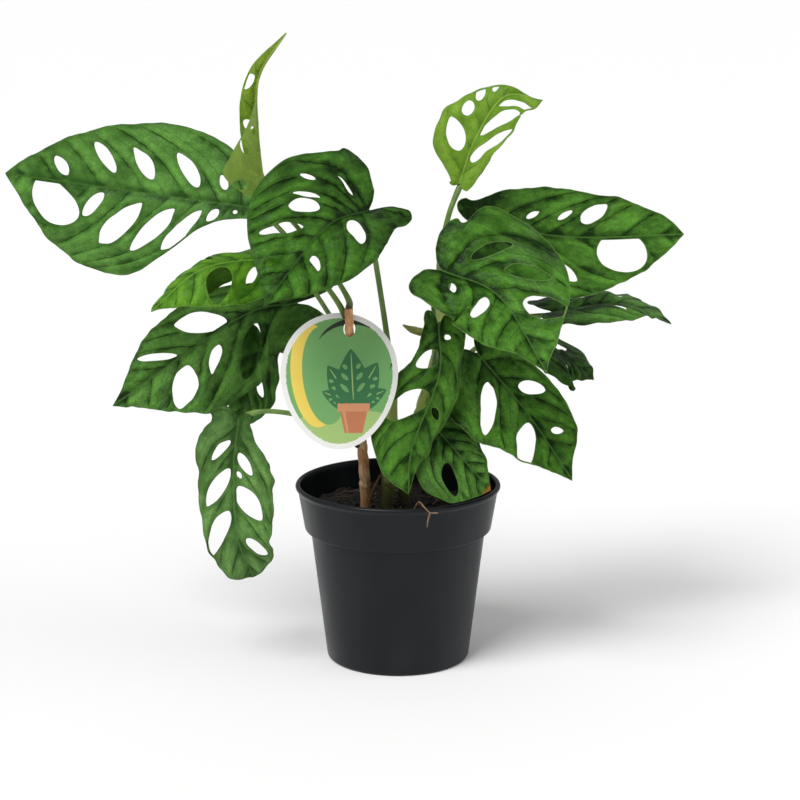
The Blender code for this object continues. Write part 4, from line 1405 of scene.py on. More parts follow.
def leaf_tissue() -> NodeTree:
    """Make the leaves' tissue: side veins, net veins, mottling, rib, margin and underside, with painted
    shade and painted highlights on the upper side.

    Returns:
        The node group.
    """

    def wire(g: Graph, given: object) -> dict:
        """Wire the group.

        Args:
            g: The group's graph.
            given: Its inputs.

        Returns:
            The outputs by name.
        """
        phase, gap, under = g.split(g.marks("veins"))
        along, across, edge = g.split(g.marks("place"))
        flat = g.join(along, across, given["Seed"])
        clouds = g.noise(flat, 0.06, 2.0)
        patches = g.noise(flat, 0.24, 1.6)
        streaks = g.noise(g.join(phase, g.times(across, 0.11), given["Seed"]), 1.5, 2.0)
        grit = g.noise(flat, 1.6, 3.0)
        # The side veins, drawn as dark lines and wider dark bands of painted shade in their grooves,
        # with a painted highlight on the ridges beside them, and finer wisps between them.
        sway = g.times(g.noise(flat, 0.3, 1.0), 0.14, -0.07)
        phase = g.sum("ADD", phase, sway)
        near = g.sum("ABSOLUTE", g.sum("SUBTRACT", g.sum("FRACT", g.sum("ADD", phase, 0.5)), 0.5))
        near = g.times(near, gap)
        between = g.sum("ABSOLUTE", g.sum("SUBTRACT", g.sum("FRACT", phase), 0.5))
        minor = g.times(between, gap)
        fade = g.times(g.rise(edge, 0.6, 3.5), g.rise(gap, 1.5, 5.0))
        drawn = g.times(fade, g.rise(g.noise(flat, 0.11, 1.0), 0.34, 0.6, 0.35, 1.0))
        # Painted shade: the dark line in each side vein's groove.
        line = g.times(g.fall(near, 0.1, 0.55), drawn)
        # Painted shade: a wider dark band round each side vein's groove.
        vein_groove_shade = g.times(g.fall(near, 0.3, 2.6), drawn)
        # Painted highlight: a pale line on the ridge beside each side vein.
        ridge = g.times(g.rise(near, 0.35, 0.7), g.fall(near, 0.8, 1.4))
        ridge = g.times(ridge, drawn)
        wisp = g.times(g.fall(minor, 0.08, 0.45), g.rise(gap, 7.0, 12.0))
        wisp = g.times(wisp, fade)
        # The net veins, the blisters, the rib, painted shade beside the rib, the margin's rim and a
        # painted highlight on each cushion between the veins, brightest just before the next vein.
        net = g.fall(g.cells(flat, 0.42, "DISTANCE_TO_EDGE")["Distance"], 0.02, 0.12)
        blister = g.cells(g.span("ADD", flat, g.node("ShaderNodeTexNoise").outputs[1]), 0.19)
        blister = g.fall(blister["Distance"], 0.0, 0.62)
        reach = g.sum("ABSOLUTE", across)
        rib = g.fall(reach, 0.25, 0.6)
        # Painted shade in the groove beside the rib.
        beside = g.fall(reach, 0.8, 5.0)
        # The margin's rim: pale on some leaves, and dark on others as painted shade on the blade's edge.
        rim = g.fall(edge, 0.1, 0.55)
        past = g.sum("FRACT", phase)
        # Painted highlight on the cushions between the side veins.
        cushion_highlight = g.times(g.rise(past, 0.0, 0.8), g.fall(past, 0.8, 1.0))
        cushion_highlight = g.times(cushion_highlight, fade)
        # The upper side, from the deep green to the bright one: random mottling, with painted highlights
        # on the blisters, the cushions and the ridges by the veins, and painted shade by the veins,
        # beside the rib and towards the petiole.
        # The blisters' lighter centres are painted highlight; the streaks and patches are random tone.
        mottle = g.times(g.rise(streaks, 0.38, 0.68), 0.65, g.times(blister, 0.18))
        mottle = g.times(g.rise(patches, 0.4, 0.72), 0.3, mottle)
        mottle = g.times(mottle, given["Mottle"])
        # Painted shade: darker towards the petiole, where the leaves in front shade the blade.
        foot = g.times(g.fall(along, 2.0, 46.0), given["Shade"])
        bloom = g.layers(
            0.1, (g.rise(clouds, 0.3, 0.7), 0.36), (mottle, 0.6), (cushion_highlight, 0.34), (vein_groove_shade, -0.28),
            (ridge, 0.18), (foot, -1.0), (beside, -0.35),
        )
        colour = g.mix(bloom, given["Deep"], given["Bright"])
        marks = (
            (net, 0.22, "Deep"), (wisp, 0.35, "Vein"), (line, 0.55, "Vein"), (rim, 0.8, "Rim"),
            (rib, 0.85, "Rib"),
        )
        for mask, share, tint in marks:
            colour = g.mix(g.times(mask, share), colour, given[tint])
        # The underside, the brown blemishes and the burnt tip.
        pale = g.mix(0.45, colour, given["Under"])
        pale = g.mix(g.times(line, 0.5), pale, given["Rib"])
        colour = g.mix(under, colour, pale)
        spots = g.cells(flat, 0.11)
        pick, size, _ = g.split(spots["Color"])
        reach = g.times(size, 0.05, 0.02)
        spot = g.fall(spots["Distance"], g.times(reach, 0.5), reach)
        spot = g.times(spot, g.sum("LESS_THAN", pick, given["Blemish"]))
        colour = g.mix(g.times(spot, 0.75), colour, (0.09, 0.045, 0.015))
        burnt = g.times(grit, 2.0, along)
        burnt = g.rise(burnt, given["Scorch"], g.sum("ADD", given["Scorch"], 2.5))
        colour = g.mix(g.times(burnt, 0.85), colour, (0.36, 0.13, 0.02))
        # The sheen and the relief.
        rough = g.layers(given["Gloss"], (patches, 0.16), (grit, 0.1), (under, 0.16))
        height = g.layers(
            0.5, (grit, 0.05), (blister, 0.3), (patches, 0.3), (streaks, 0.5), (net, -0.05),
            (line, -0.25), (wisp, -0.08),
        )
        return {"Color": colour, "Roughness": rough, "Height": height}

    inputs = dict.fromkeys(("Deep", "Bright", "Vein", "Rim", "Rib", "Under"), (0.05, 0.15, 0.03))
    inputs |= dict.fromkeys(("Mottle", "Gloss", "Blemish", "Shade", "Seed"), 0.0)
    inputs["Scorch"] = NEVER
    return effect("leaf tissue", inputs, {"Color": True, "Roughness": False, "Height": False}, wire)


@dataclass(frozen=True)
class LeafFinish(Finish):
    """A living leaf: satin, quilted between its veins, paler below."""

    deep: Colour
    bright: Colour
    vein: Colour
    rib: Colour
    rim: Colour
    under: Colour
    mottle: float = 0.8
    gloss: float = 0.26
    blemish: float = 0.03
    clear: float = 0.08
    shade: float = 0.24
    scorch: float = NEVER

    def material(self, seed: float) -> Material:
        """Make the material for one leaf.

        Args:
            seed: What sets this leaf's mottling apart.

        Returns:
            The material.
        """
        made, g, shader = self.surface()
        tissue = g.put(
            leaf_tissue(), Deep=self.deep, Bright=self.bright, Vein=self.vein, Rib=self.rib,
            Rim=self.rim, Under=self.under, Mottle=self.mottle, Gloss=self.gloss,
            Blemish=self.blemish, Shade=self.shade, Scorch=self.scorch, Seed=seed,
        )
        g.supply(
            shader, Base_Color=tissue["Color"], Roughness=tissue["Roughness"],
            Specular_IOR_Level=0.085, Subsurface_Weight=self.clear,
            Subsurface_Radius=(0.6, 1.0, 0.3), Subsurface_Scale=1.5 * MM,
        )
        self.bump(g, shader, tissue["Height"], 1.5)
        return made


class Tissue(Enum):
    """The leaves' finishes."""

    DARK = LeafFinish(
        "dark leaf", (0.005, 0.02, 0.002), (0.068, 0.205, 0.02), (0.006, 0.024, 0.002),
        (0.03, 0.085, 0.015), (0.035, 0.08, 0.014), (0.06, 0.12, 0.03), 0.8,
    )
    DEEP = LeafFinish(
        "deep green leaf", (0.007, 0.026, 0.003), (0.112, 0.285, 0.044), (0.008, 0.03, 0.004),
        (0.05, 0.13, 0.025), (0.04, 0.1, 0.016), (0.07, 0.14, 0.04), 0.75,
    )
    GREEN = LeafFinish(
        "green leaf", (0.006, 0.026, 0.002), (0.096, 0.272, 0.028), (0.008, 0.032, 0.003),
        (0.06, 0.15, 0.024), (0.13, 0.21, 0.055), (0.08, 0.16, 0.04), 0.75,
    )
    FRESH = LeafFinish(
        "fresh green leaf", (0.02, 0.07, 0.008), (0.13, 0.32, 0.055), (0.015, 0.052, 0.006),
        (0.05, 0.13, 0.02), (0.02, 0.055, 0.009), (0.1, 0.19, 0.06), 0.6,
    )
    # Its dark underside colour is painted shade.
    BRIGHT = LeafFinish(
        "bright green leaf", (0.03, 0.11, 0.005), (0.14, 0.34, 0.022), (0.022, 0.08, 0.005),
        (0.14, 0.3, 0.04), (0.13, 0.25, 0.035), (0.012, 0.035, 0.004), 0.6,
    )
    OLD = LeafFinish(
        "old leaf", (0.03, 0.085, 0.014), (0.17, 0.35, 0.09), (0.022, 0.07, 0.01),
        (0.07, 0.17, 0.04), (0.035, 0.04, 0.012), (0.1, 0.19, 0.06), 0.6,
    )
    YOUNG = LeafFinish(
        "young leaf", (0.1, 0.21, 0.014), (0.22, 0.38, 0.04), (0.09, 0.2, 0.016),
        (0.26, 0.4, 0.08), (0.1, 0.18, 0.025), (0.2, 0.32, 0.07), 0.5, 0.3, 0.0, 0.3, 0.0,
    )
    # Its pale young greens are raised further as painted light, for the light that shines through the
    # thin rolled blade.
    PALE = LeafFinish(
        "furled pale leaf", (0.19, 0.3, 0.03), (0.38, 0.5, 0.08), (0.15, 0.25, 0.03),
        (0.36, 0.48, 0.12), (0.12, 0.2, 0.03), (0.2, 0.31, 0.08), 0.5, 0.32, 0.0, 0.5, 0.0,
    )


# Each leaf's finish and fullness, what single leaves change in their finish, and the record's slot
# for each finish that isn't plain leaf green.
LEAF_LOOKS = {
    "leaf_left_long": (Tissue.FRESH, Look.SOFT),
    "leaf_left_furled": (Tissue.PALE, Look.FLAT),
    "leaf_front_left": (Tissue.DARK, Look.FULL),
    "leaf_left_folded": (Tissue.BRIGHT, Look.SOFT),
    "leaf_left_low": (Tissue.DEEP, Look.FULL),
    "leaf_left_behind": (Tissue.FRESH, Look.SOFT),
    "leaf_left_hanging": (Tissue.OLD, Look.FULL),
    "leaf_right_young": (Tissue.YOUNG, Look.SOFT),
    "leaf_right_long": (Tissue.GREEN, Look.SOFT),
    "leaf_front_right": (Tissue.GREEN, Look.FULL),
    "leaf_right_edge_on": (Tissue.DEEP, Look.SOFT),
    "leaf_right_behind": (Tissue.DARK, Look.SOFT),
    "leaf_right_low": (Tissue.GREEN, Look.FULL),
    "leaf_middle": (Tissue.GREEN, Look.SOFT),
    "leaf_on_rim": (Tissue.DEEP, Look.SOFT),
}

ALTERED = {
    "leaf_on_rim": {"scorch": 48.5},
    # Painted shade: a darker base on the long right leaf, seen through the holes of the leaf in front.
    "leaf_right_long": {"shade": 0.55},
}

LEAF_SLOTS = {
    Tissue.DARK: Slot.DEEP_LEAF,
    Tissue.DEEP: Slot.DEEP_LEAF,
    Tissue.YOUNG: Slot.YOUNG_LEAF,
    Tissue.PALE: Slot.YOUNG_LEAF,
    Tissue.OLD: Slot.YOUNG_LEAF,
}


@dataclass(frozen=True)
class StemFinish(Finish):
    """A green stalk: satin, finely lined, flecked, with pale scars and a foot darkened by soil stains
    and painted shade.
    """

    deep: Colour
    bright: Colour
    scar: Colour
    gloss: float = 0.36
    scars: float = 0.12
    foot: float = 9.0

    def material(self) -> Material:
        """Make the material.

        Returns:
            The material.
        """
        made, g, shader = self.surface()
        length, _, turn = g.split(g.marks("run"))
        right = g.times(g.sum("COSINE", turn), 3.0)
        back = g.times(g.sum("SINE", turn), 3.0)
        ribs = g.noise(g.join(right, back, g.times(length, 0.06)), 1.7, 3.0)
        soft = g.put(grain(), Size=9.0, Stretch=2.0)
        flecks = g.put(specks(), Apart=2.4, Radius=0.35, Share=0.35)["Mask"]
        shade = g.times(ribs, 0.9, g.times(soft["Broad"], 0.5))
        shade = g.sum("SUBTRACT", shade, 0.2, clamp=True)
        colour = g.mix(shade, self.deep, self.bright)
        colour = g.mix(g.times(flecks, 0.35), colour, self.bright)
        worn = g.times(g.rise(soft["Height"], 0.56, 0.66), self.scars, clamp=True)
        colour = g.mix(worn, colour, self.scar)
        # Darker towards the foot: partly soil stains, partly painted shade down in the pot.
        soil_and_shade = g.rise(g.times(ribs, 8.0, length), 0.5 * self.foot, self.foot, 0.9, 0.0)
        colour = g.mix(soil_and_shade, colour, (0.045, 0.03, 0.014))
        rough = g.times(soft["Fine"], 0.16, self.gloss)
        g.supply(shader, Base_Color=colour, Roughness=rough, Subsurface_Weight=0.1, Subsurface_Scale=MM)
        height = g.times(ribs, 0.7, g.times(soft["Fine"], 0.3))
        self.bump(g, shader, height, 0.25)
        return made


@dataclass(frozen=True)
class BarkFinish(Finish):
    """An old stem: tan and rust, cracked along its run and darker at the soil."""

    deep: Colour
    bright: Colour
    rust: Colour
    relief: float = 0.5

    def material(self) -> Material:
        """Make the material.

        Returns:
            The material.
        """
        made, g, shader = self.surface()
        length, _, _ = g.split(g.marks("run"))
        broad = g.put(grain(), Size=7.0, Stretch=2.4)
        fine = g.put(grain(), Size=1.3, Stretch=3.5)
        pits = g.put(specks(), Apart=2.2, Radius=0.4, Share=0.4)["Mask"]
        colour = g.mix(broad["Broad"], self.rust, self.bright)
        colour = g.mix(g.times(fine["Broad"], 0.45), colour, self.deep)
        colour = g.mix(g.times(pits, 0.6), colour, self.deep)
        colour = g.mix(g.rise(length, 22.0, 36.0, 0.6, 0.0), colour, self.deep)
        g.supply(shader, Base_Color=colour, Roughness=g.times(fine["Fine"], 0.25, 0.58))
        height = g.times(broad["Height"], 0.6, g.times(fine["Height"], 0.8))
        self.bump(g, shader, g.sum("SUBTRACT", height, g.times(pits, 0.4)), self.relief)
        return made


@dataclass(frozen=True)
class PlasticFinish(Finish):
    """Moulded plastic: satin, dusty towards the foot, with specks and a fine orange peel."""

    colour: Colour
    dust: Colour

    def material(self) -> Material:
        """Make the material.

        Returns:
            The material.
        """
        made, g, shader = self.surface()
        cloud = g.put(grain(), Size=26.0, Stretch=2.2)
        peel = g.put(grain(), Size=0.7, Stretch=1.0)
        motes = g.put(specks(), Apart=3.4, Radius=0.17, Share=0.3)["Mask"]
        crumbs = g.put(specks(), Apart=4.5, Radius=0.42, Share=0.3)["Mask"]
        _, _, height = g.split(g.millimetres())
        film = g.times(cloud["Broad"], g.rise(height, 0.0, 30.0, 0.5, 0.22))
        colour = g.mix(film, self.colour, self.dust)
        colour = g.mix(g.times(motes, 0.3), colour, self.dust)
        colour = g.mix(g.times(crumbs, 0.04), colour, (0.3, 0.24, 0.17))
        rough = g.layers(0.33, (cloud["Broad"], 0.1), (crumbs, 0.3))
        g.supply(shader, Base_Color=colour, Roughness=rough, Specular_IOR_Level=0.22)
        relief = g.times(peel["Height"], 0.25, g.times(crumbs, 0.7))
        self.bump(g, shader, relief, 0.12)
        return made


@dataclass(frozen=True)
class SoilFinish(Finish):
    """Moist potting soil: near black, crumbly, with paler bits of bark and fibre."""

    dark: Colour
    brown: Colour
    pale: Colour

    def material(self) -> Material:
        """Make the material.

        Returns:
            The material.
        """
        made, g, shader = self.surface()
        clods = g.put(grain(), Size=3.2, Stretch=1.0)
        dust = g.put(grain(), Size=0.8, Stretch=1.0)
        bits = g.put(specks(), Apart=2.6, Radius=0.55, Share=0.14)["Mask"]
        colour = g.mix(clods["Broad"], self.dark, self.brown)
        colour = g.mix(g.times(dust["Fine"], 0.3), colour, self.dark)
        colour = g.mix(g.times(bits, 0.7), colour, self.pale)
        g.supply(shader, Base_Color=colour, Roughness=g.times(dust["Fine"], -0.18, 0.98))
        height = g.times(clods["Height"], 0.6, g.times(dust["Height"], 0.5))
        self.bump(g, shader, g.times(bits, 0.2, height), 1.0)
        return made


@dataclass(frozen=True)
class CardFinish(Finish):
    """One ink of the printed card, or the bare card: smooth, with a faint fibre."""

    ink: Colour
    shade: float = 0.12

    def material(self) -> Material:
        """Make the material.

        Returns:
            The material.
        """
        made, g, shader = self.surface()
        cloud = g.put(grain(), Size=14.0, Stretch=1.0)
        fibre = g.put(grain(), Size=0.6, Stretch=1.0)
        darker = tuple(0.7 * part for part in self.ink)
        share = g.times(fibre["Fine"], 0.5 * self.shade, g.times(cloud["Broad"], self.shade))
        rough = g.times(fibre["Fine"], 0.1, 0.36)
        g.supply(shader, Base_Color=g.mix(share, self.ink, darker), Roughness=rough)
        self.bump(g, shader, fibre["Height"], 0.05)
        return made


class Ink(Enum):
    """What the card shows: its own face and the inks, in the order of its materials."""

    BARE = CardFinish("bare card", (0.78, 0.78, 0.74))
    GREEN = CardFinish("green ink", (0.16, 0.38, 0.12))
    YELLOW = CardFinish("yellow ink", (0.8, 0.6, 0.1))
    DEEP_GREEN = CardFinish("deep green ink", (0.03, 0.16, 0.05))
    CLAY = CardFinish("clay ink", (0.5, 0.18, 0.08))
    PALE_CLAY = CardFinish("pale clay ink", (0.62, 0.27, 0.13))
    PALE_GREEN = CardFinish("pale green ink", (0.34, 0.5, 0.16))
    NIGHT = CardFinish("night ink", (0.02, 0.025, 0.02))


@dataclass(frozen=True)
class FloorFinish(Finish):
    """The studio's pale matt floor."""

    colour: Colour

    def material(self) -> Material:
        """Make the material.

        Returns:
            The material.
        """
        made, g, shader = self.surface()
        paper = g.put(grain(), Size=2.0, Stretch=1.0)
        shade = tuple(0.985 * part for part in self.colour)
        g.supply(shader, Base_Color=g.mix(paper["Fine"], self.colour, shade), Roughness=0.9)
        return made


@dataclass
class NurseryPot:
    """The thin pot: a foot, a sloping wall, a step, an upper band and a rolled lip."""

    radius: float = 60.0
    height: float = 105.0
    foot: float = 42.0
    step: float = 51.2
    band: float = 54.8
    band_bottom: float = 78.0
    neck: float = 58.4
    neck_height: float = 101.0
    wall: float = 1.2
    lip: float = 1.5
    floor: float = 1.6
    floor_reach: float = 38.0
    floor_hollow: float = 0.7
    floor_spacing: float = 4.0
    drains: int = 6
    drain_turn: float = 0.57
    drain_place: float = 28.0
    drain_radius: float = 4.5
    drain_sides: int = 40
    sides: int = 192

    def wall_line(self) -> list:
        """Draw the wall's outline: up the outside, over the lip and down the inside.

        Returns:
            The outline's points as (radius, height).
        """
        outside = rounded(
            (
                (self.floor_reach, 0.0, 0),
                (self.foot - 0.2, 0.0, 2.2),
                (self.step, self.band_bottom - 0.4, 0.5),
                (self.band - 0.2, self.band_bottom + 0.2, 1.1),
                (self.neck, self.neck_height, 0.8),
                (self.radius - 0.9, self.neck_height + 0.9, 0.4),
            )
        )
        rolled = [
            (self.radius - self.lip * (1 - math.cos(t)), self.height - self.lip * (1 - math.sin(t)))
            for t in np.linspace(-0.3 * math.pi, 0.85 * math.pi, 16)
        ]
        within = rounded(
            (
                (self.neck - self.wall, self.neck_height, 0),
                (self.band - self.wall, self.band_bottom + 1.6, 0.8),
                (self.step - self.wall, self.band_bottom - 1.6, 0.8),
                (self.foot - self.wall, self.floor + 0.4, 1.0),
                (self.floor_reach, self.floor, 0),
            )
        )
        return outside + rolled + within

    def floors(self) -> Shape:
        """Build the floor with its drain holes.

        Returns:
            The floor's two faces and the holes' walls.
        """
        rings = [circle(self.sides) * self.floor_reach]
        for i in range(self.drains):
            turn = 2 * math.pi * i / self.drains + self.drain_turn
            middle = np.array((math.cos(turn), math.sin(turn))) * self.drain_place
            rings.append(middle + self.drain_radius * circle(self.drain_sides))
        spots, faces = fill(rings, self.floor_spacing)
        count = len(spots)
        reach = np.linalg.norm(spots, axis=1)
        hollow = self.floor_hollow * ease(reach, self.floor_reach - 0.2, self.floor_reach - 2.5)
        low = np.column_stack([spots, hollow])
        high = np.column_stack([spots, np.full(count, self.floor)])
        made = (faces + count).tolist() + faces[:, ::-1].tolist()
        for a, b in open_edges(faces):
            if reach[a] < self.floor_reach - 1:
                made.append((b, a, a + count, b + count))
        return Shape(np.vstack([low, high]), made)

    def build(self) -> None:
        """Make the pot."""
        verts, faces = turned(self.wall_line(), self.sides)
        plastic = PlasticFinish("black plastic", (0.004, 0.005, 0.0066), (0.014, 0.0168, 0.0215))
        shape = together([Shape(verts, faces), self.floors()])
        shape.show("nursery_pot", [plastic.material()], Slot.POT, "pot")


@dataclass
class PottingSoil:
    """The soil: a plug that fills the pot, with clods, chips and fine roots on top."""

    pot: NurseryPot
    height: float = 90.0
    gap: float = 0.5
    clods: int = 620
    clods_reach: float = 50.5
    chips: float = 0.22
    roots: int = 70
    roots_reach: float = 48.0
    roots_limit: float = 51.0
    roots_spacing: float = 0.8
    roots_sides: int = 6
    sides: int = 200
    spacing: float = 0.9

    def ground(self, x: np.ndarray, y: np.ndarray) -> np.ndarray:
        """Find the soil's height.

        Args:
            x: The places to the right.
            y: The places to the back.

        Returns:
            The height at each place.
        """
        rise = 1.2 * np.sin(x / 7.0 + 1.3) * np.cos(y / 6.0) + 0.9 * (np.sin((x + y) / 4.3) - 0.9)
        rise += 0.5 * np.sin(x / 2.1 + 0.4 * y) * np.cos(y / 1.7 - 0.5 * x)
        rise += 0.35 * np.sin(1.9 * x + 0.7) * np.sin(1.6 * y + 1.1)
        return self.height + 0.6 + rise

    def plug(self) -> Shape:
        """Build the plug.

        Returns:
            The plug's shape, uneven on top.
        """
        pot = self.pot
        inset = pot.wall + self.gap
        rim = pot.band - inset + 1.2
        side = [
            (0.0, pot.floor + 0.3),
            (pot.foot - inset - 1.0, pot.floor + 0.3),
            (pot.foot - inset, pot.floor + 1.5),
            (pot.step - inset, pot.band_bottom - 1.8),
            (pot.band - inset, pot.band_bottom + 2.2),
            (rim, self.height - 3.5),
        ]
        top = [(radius, self.height) for radius in np.arange(rim - 0.2, 0.4, -self.spacing)]
        verts, faces = turned([*side, *top, (0.0, self.height)], self.sides)
        on_top = verts[:, 2] == self.height
        lifted = self.ground(verts[on_top, 0], verts[on_top, 1])
        reach = np.hypot(verts[on_top, 0], verts[on_top, 1])
        verts[on_top, 2] = lifted - 2.0 * ease(reach, rim - 2.5, rim)
        return Shape(verts, faces)

    def clod(self, rng: np.random.Generator, base: Shape) -> Shape:
        """Build one clod or chip.

        Args:
            rng: The seeded draw.
            base: A round ball of radius 1.

        Returns:
            The clod, pressed a little into the ground.
        """
        reach = self.clods_reach * math.sqrt(rng.uniform())
        turn = rng.uniform(0, 2 * math.pi)
        x, y = reach * math.cos(turn), reach * math.sin(turn)
        size = rng.uniform(0.5, 1.7) * rng.uniform(0.7, 1.3)
        sizes = size * np.array((rng.uniform(0.7, 1.6), rng.uniform(0.6, 1.1), rng.uniform(0.35, 0.9)))
        heading = Matrix.Rotation(rng.uniform(0, 2 * math.pi), 3, "Z")
        tilt = Matrix.Rotation(rng.uniform(-0.6, 0.6), 3, "X")
        rough = 1 + 0.22 * rng.standard_normal((len(base.verts), 1))
        verts = base.verts * rough * sizes @ np.array((heading @ tilt).transposed())
        ground = float(self.ground(np.array([x]), np.array([y]))[0])
        return Shape(verts + (x, y, ground + 0.25 * sizes[2]), base.faces)

    def fibre(self, rng: np.random.Generator) -> Shape:
        """Build one fine root lying on the ground.

        Args:
            rng: The seeded draw.

        Returns:
            The root.
        """
        reach = self.roots_reach * math.sqrt(rng.uniform())
        turn = rng.uniform(0, 2 * math.pi)
        spot = np.array((reach * math.cos(turn), reach * math.sin(turn)))
        way = rng.uniform(0, 2 * math.pi)
        points = []
        for _ in range(rng.integers(4, 7)):
            if np.linalg.norm(spot) < self.roots_limit:
                height = float(self.ground(spot[:1], spot[1:])[0])
                points.append((*spot, height + rng.uniform(-0.3, 1.3)))
            spot = spot + rng.uniform(2.0, 4.5) * np.array((math.cos(way), math.sin(way)))
            way += rng.uniform(-0.9, 0.9)
        if len(points) < 3:
            return self.fibre(rng)
        radius = rng.uniform(0.14, 0.36)
        line = even(smooth_line(points, 6), self.roots_spacing)
        return rod(line, [radius, radius, 0.5 * radius], self.roots_sides)

    def build(self) -> None:
        """Make the plug, the clods and the fine roots."""
        rng = np.random.default_rng(11)
        dark = SoilFinish(
            "dark soil", (0.0035, 0.0025, 0.002), (0.013, 0.008, 0.005), (0.12, 0.07, 0.035),
        )
        chips = SoilFinish("bark chips", (0.012, 0.007, 0.004), (0.036, 0.02, 0.01), (0.16, 0.1, 0.05))
        tan = BarkFinish(
            "fine roots", (0.1, 0.055, 0.025), (0.38, 0.24, 0.12), (0.22, 0.12, 0.05), 0.15,
        )
        self.plug().show("soil_fill", [dark.material()], Slot.SOIL, "soil")
        ball = unit_ball()
        clods = together(self.clod(rng, ball) for _ in range(self.clods))
        share = len(ball.faces)
        picks = np.repeat(rng.uniform(size=self.clods) < self.chips, share)
        clods.slots = picks.astype(int).tolist()
        clods.show("soil_clods", [dark.material(), chips.material()], Slot.SOIL)
        fibres = together(self.fibre(rng) for _ in range(self.roots))
        fibres.show("fine_roots", [tan.material()], Slot.BARK)


def unit_ball() -> Shape:
    """Build a ball of radius 1 from 80 triangles.

    Returns:
        The ball's shape.
    """
    work = bmesh.new()
    bmesh.ops.create_icosphere(work, subdivisions=2, radius=1.0)
    work.verts.index_update()
    verts = np.array([vert.co[:] for vert in work.verts])
    faces = [tuple(vert.index for vert in face.verts) for face in work.faces]
    work.free()
    return Shape(verts, faces)


@dataclass
class Shoot:
    """A stem: a skin with joints and scars, or with the overlapping sheaths of old petioles."""

    place: str
    finish: Finish
    slot: Slot
    joints: tuple = ()
    lumps: float = 0.3
    sheaths: float = 0.0
    sides: int = 48
    spacing: float = 0.7

    def relief(self, length: np.ndarray, turn: np.ndarray) -> np.ndarray:
        """Shape the skin.

        Args:
            length: The length gone.
            turn: The turn round the stem.

        Returns:
            How far the skin stands out.
        """
        lumps = np.sin(length / 4.3 + 2 * turn) * np.sin(length / 2.9 - turn + 1.0)
        lumps += 0.5 * np.sin(length / 1.3 + 3 * turn) * np.sin(5 * turn + length / 5.0)
        out = self.lumps * lumps
        for place, height in self.joints:
            off = length - place - 0.8 * np.cos(turn + place)
            out = out + height * np.exp(-((off / 1.5) ** 2))
            out = out - 0.6 * height * np.exp(-(((off - 2.2) / 0.7) ** 2))
        wraps = np.mod(length / 21.0 + turn / (2 * math.pi), 1.0)
        return out + self.sheaths * (1 - wraps) ** 2 * ease(wraps, 0.0, 0.05)

    def build(self) -> None:
        """Make the stem."""
        node = f"stem_{self.place}"
        stem = STEMS[node]
        line = even(smooth_line(stem.line), self.spacing)
        shape = rod(line, stem.radii, self.sides, relief=self.relief)
        shape.show(f"shoot_{self.place}", [self.finish.material()], self.slot, node)


@dataclass
class Twig:
    """A thin dry root or stalk."""

    name: str
    branches: tuple
    radius: float = 0.8
    tip: float = 0.45
    sides: int = 12
    spacing: float = 0.5

    def relief(self, length: np.ndarray, turn: np.ndarray) -> np.ndarray:
        """Wrinkle the skin, from the length gone and the turn round the twig."""
        return 0.12 * self.radius * np.sin(length / 0.9 + 2 * turn) * np.sin(3 * turn + length)

    def build(self, finish: Finish) -> None:
        """Make the twig.

        Args:
            finish: What it is covered with.
        """
        radii = [self.radius, self.radius, self.tip]
        lines = [even(smooth_line(points), self.spacing) for points in self.branches]
        rods = together(rod(line, radii, self.sides, relief=self.relief) for line in lines)
        rods.show(self.name, [finish.material()], Slot.BARK)


@dataclass
class Bud:
    """The next leaf, still rolled up in a point."""

    line: tuple = ((24, 4, 191.5), (20, 3, 192.5), (14, 2, 194), (8, -1, 196), (3, -3, 199))
    radii: tuple = (1.5, 1.8, 2.4, 1.9, 0.5)
    sides: int = 32
    spacing: float = 0.5

    def relief(self, length: np.ndarray, turn: np.ndarray) -> np.ndarray:
        """Raise the rolled edge, from the length gone and the turn round the bud."""
        wrap = np.mod(length / 30 + turn / (2 * math.pi), 1.0)
        return 0.35 * (1 - wrap) ** 3 * ease(wrap, 0.0, 0.06) * ease(length, 3, 8)

    def build(self, finish: Finish) -> None:
        """Make the bud.

        Args:
            finish: What it is covered with.
        """
        line = even(smooth_line(self.line), self.spacing)
        shape = rod(line, self.radii, self.sides, relief=self.relief)
        shape.show("new_bud", [finish.material()], Slot.GREEN_STEM, "bud")


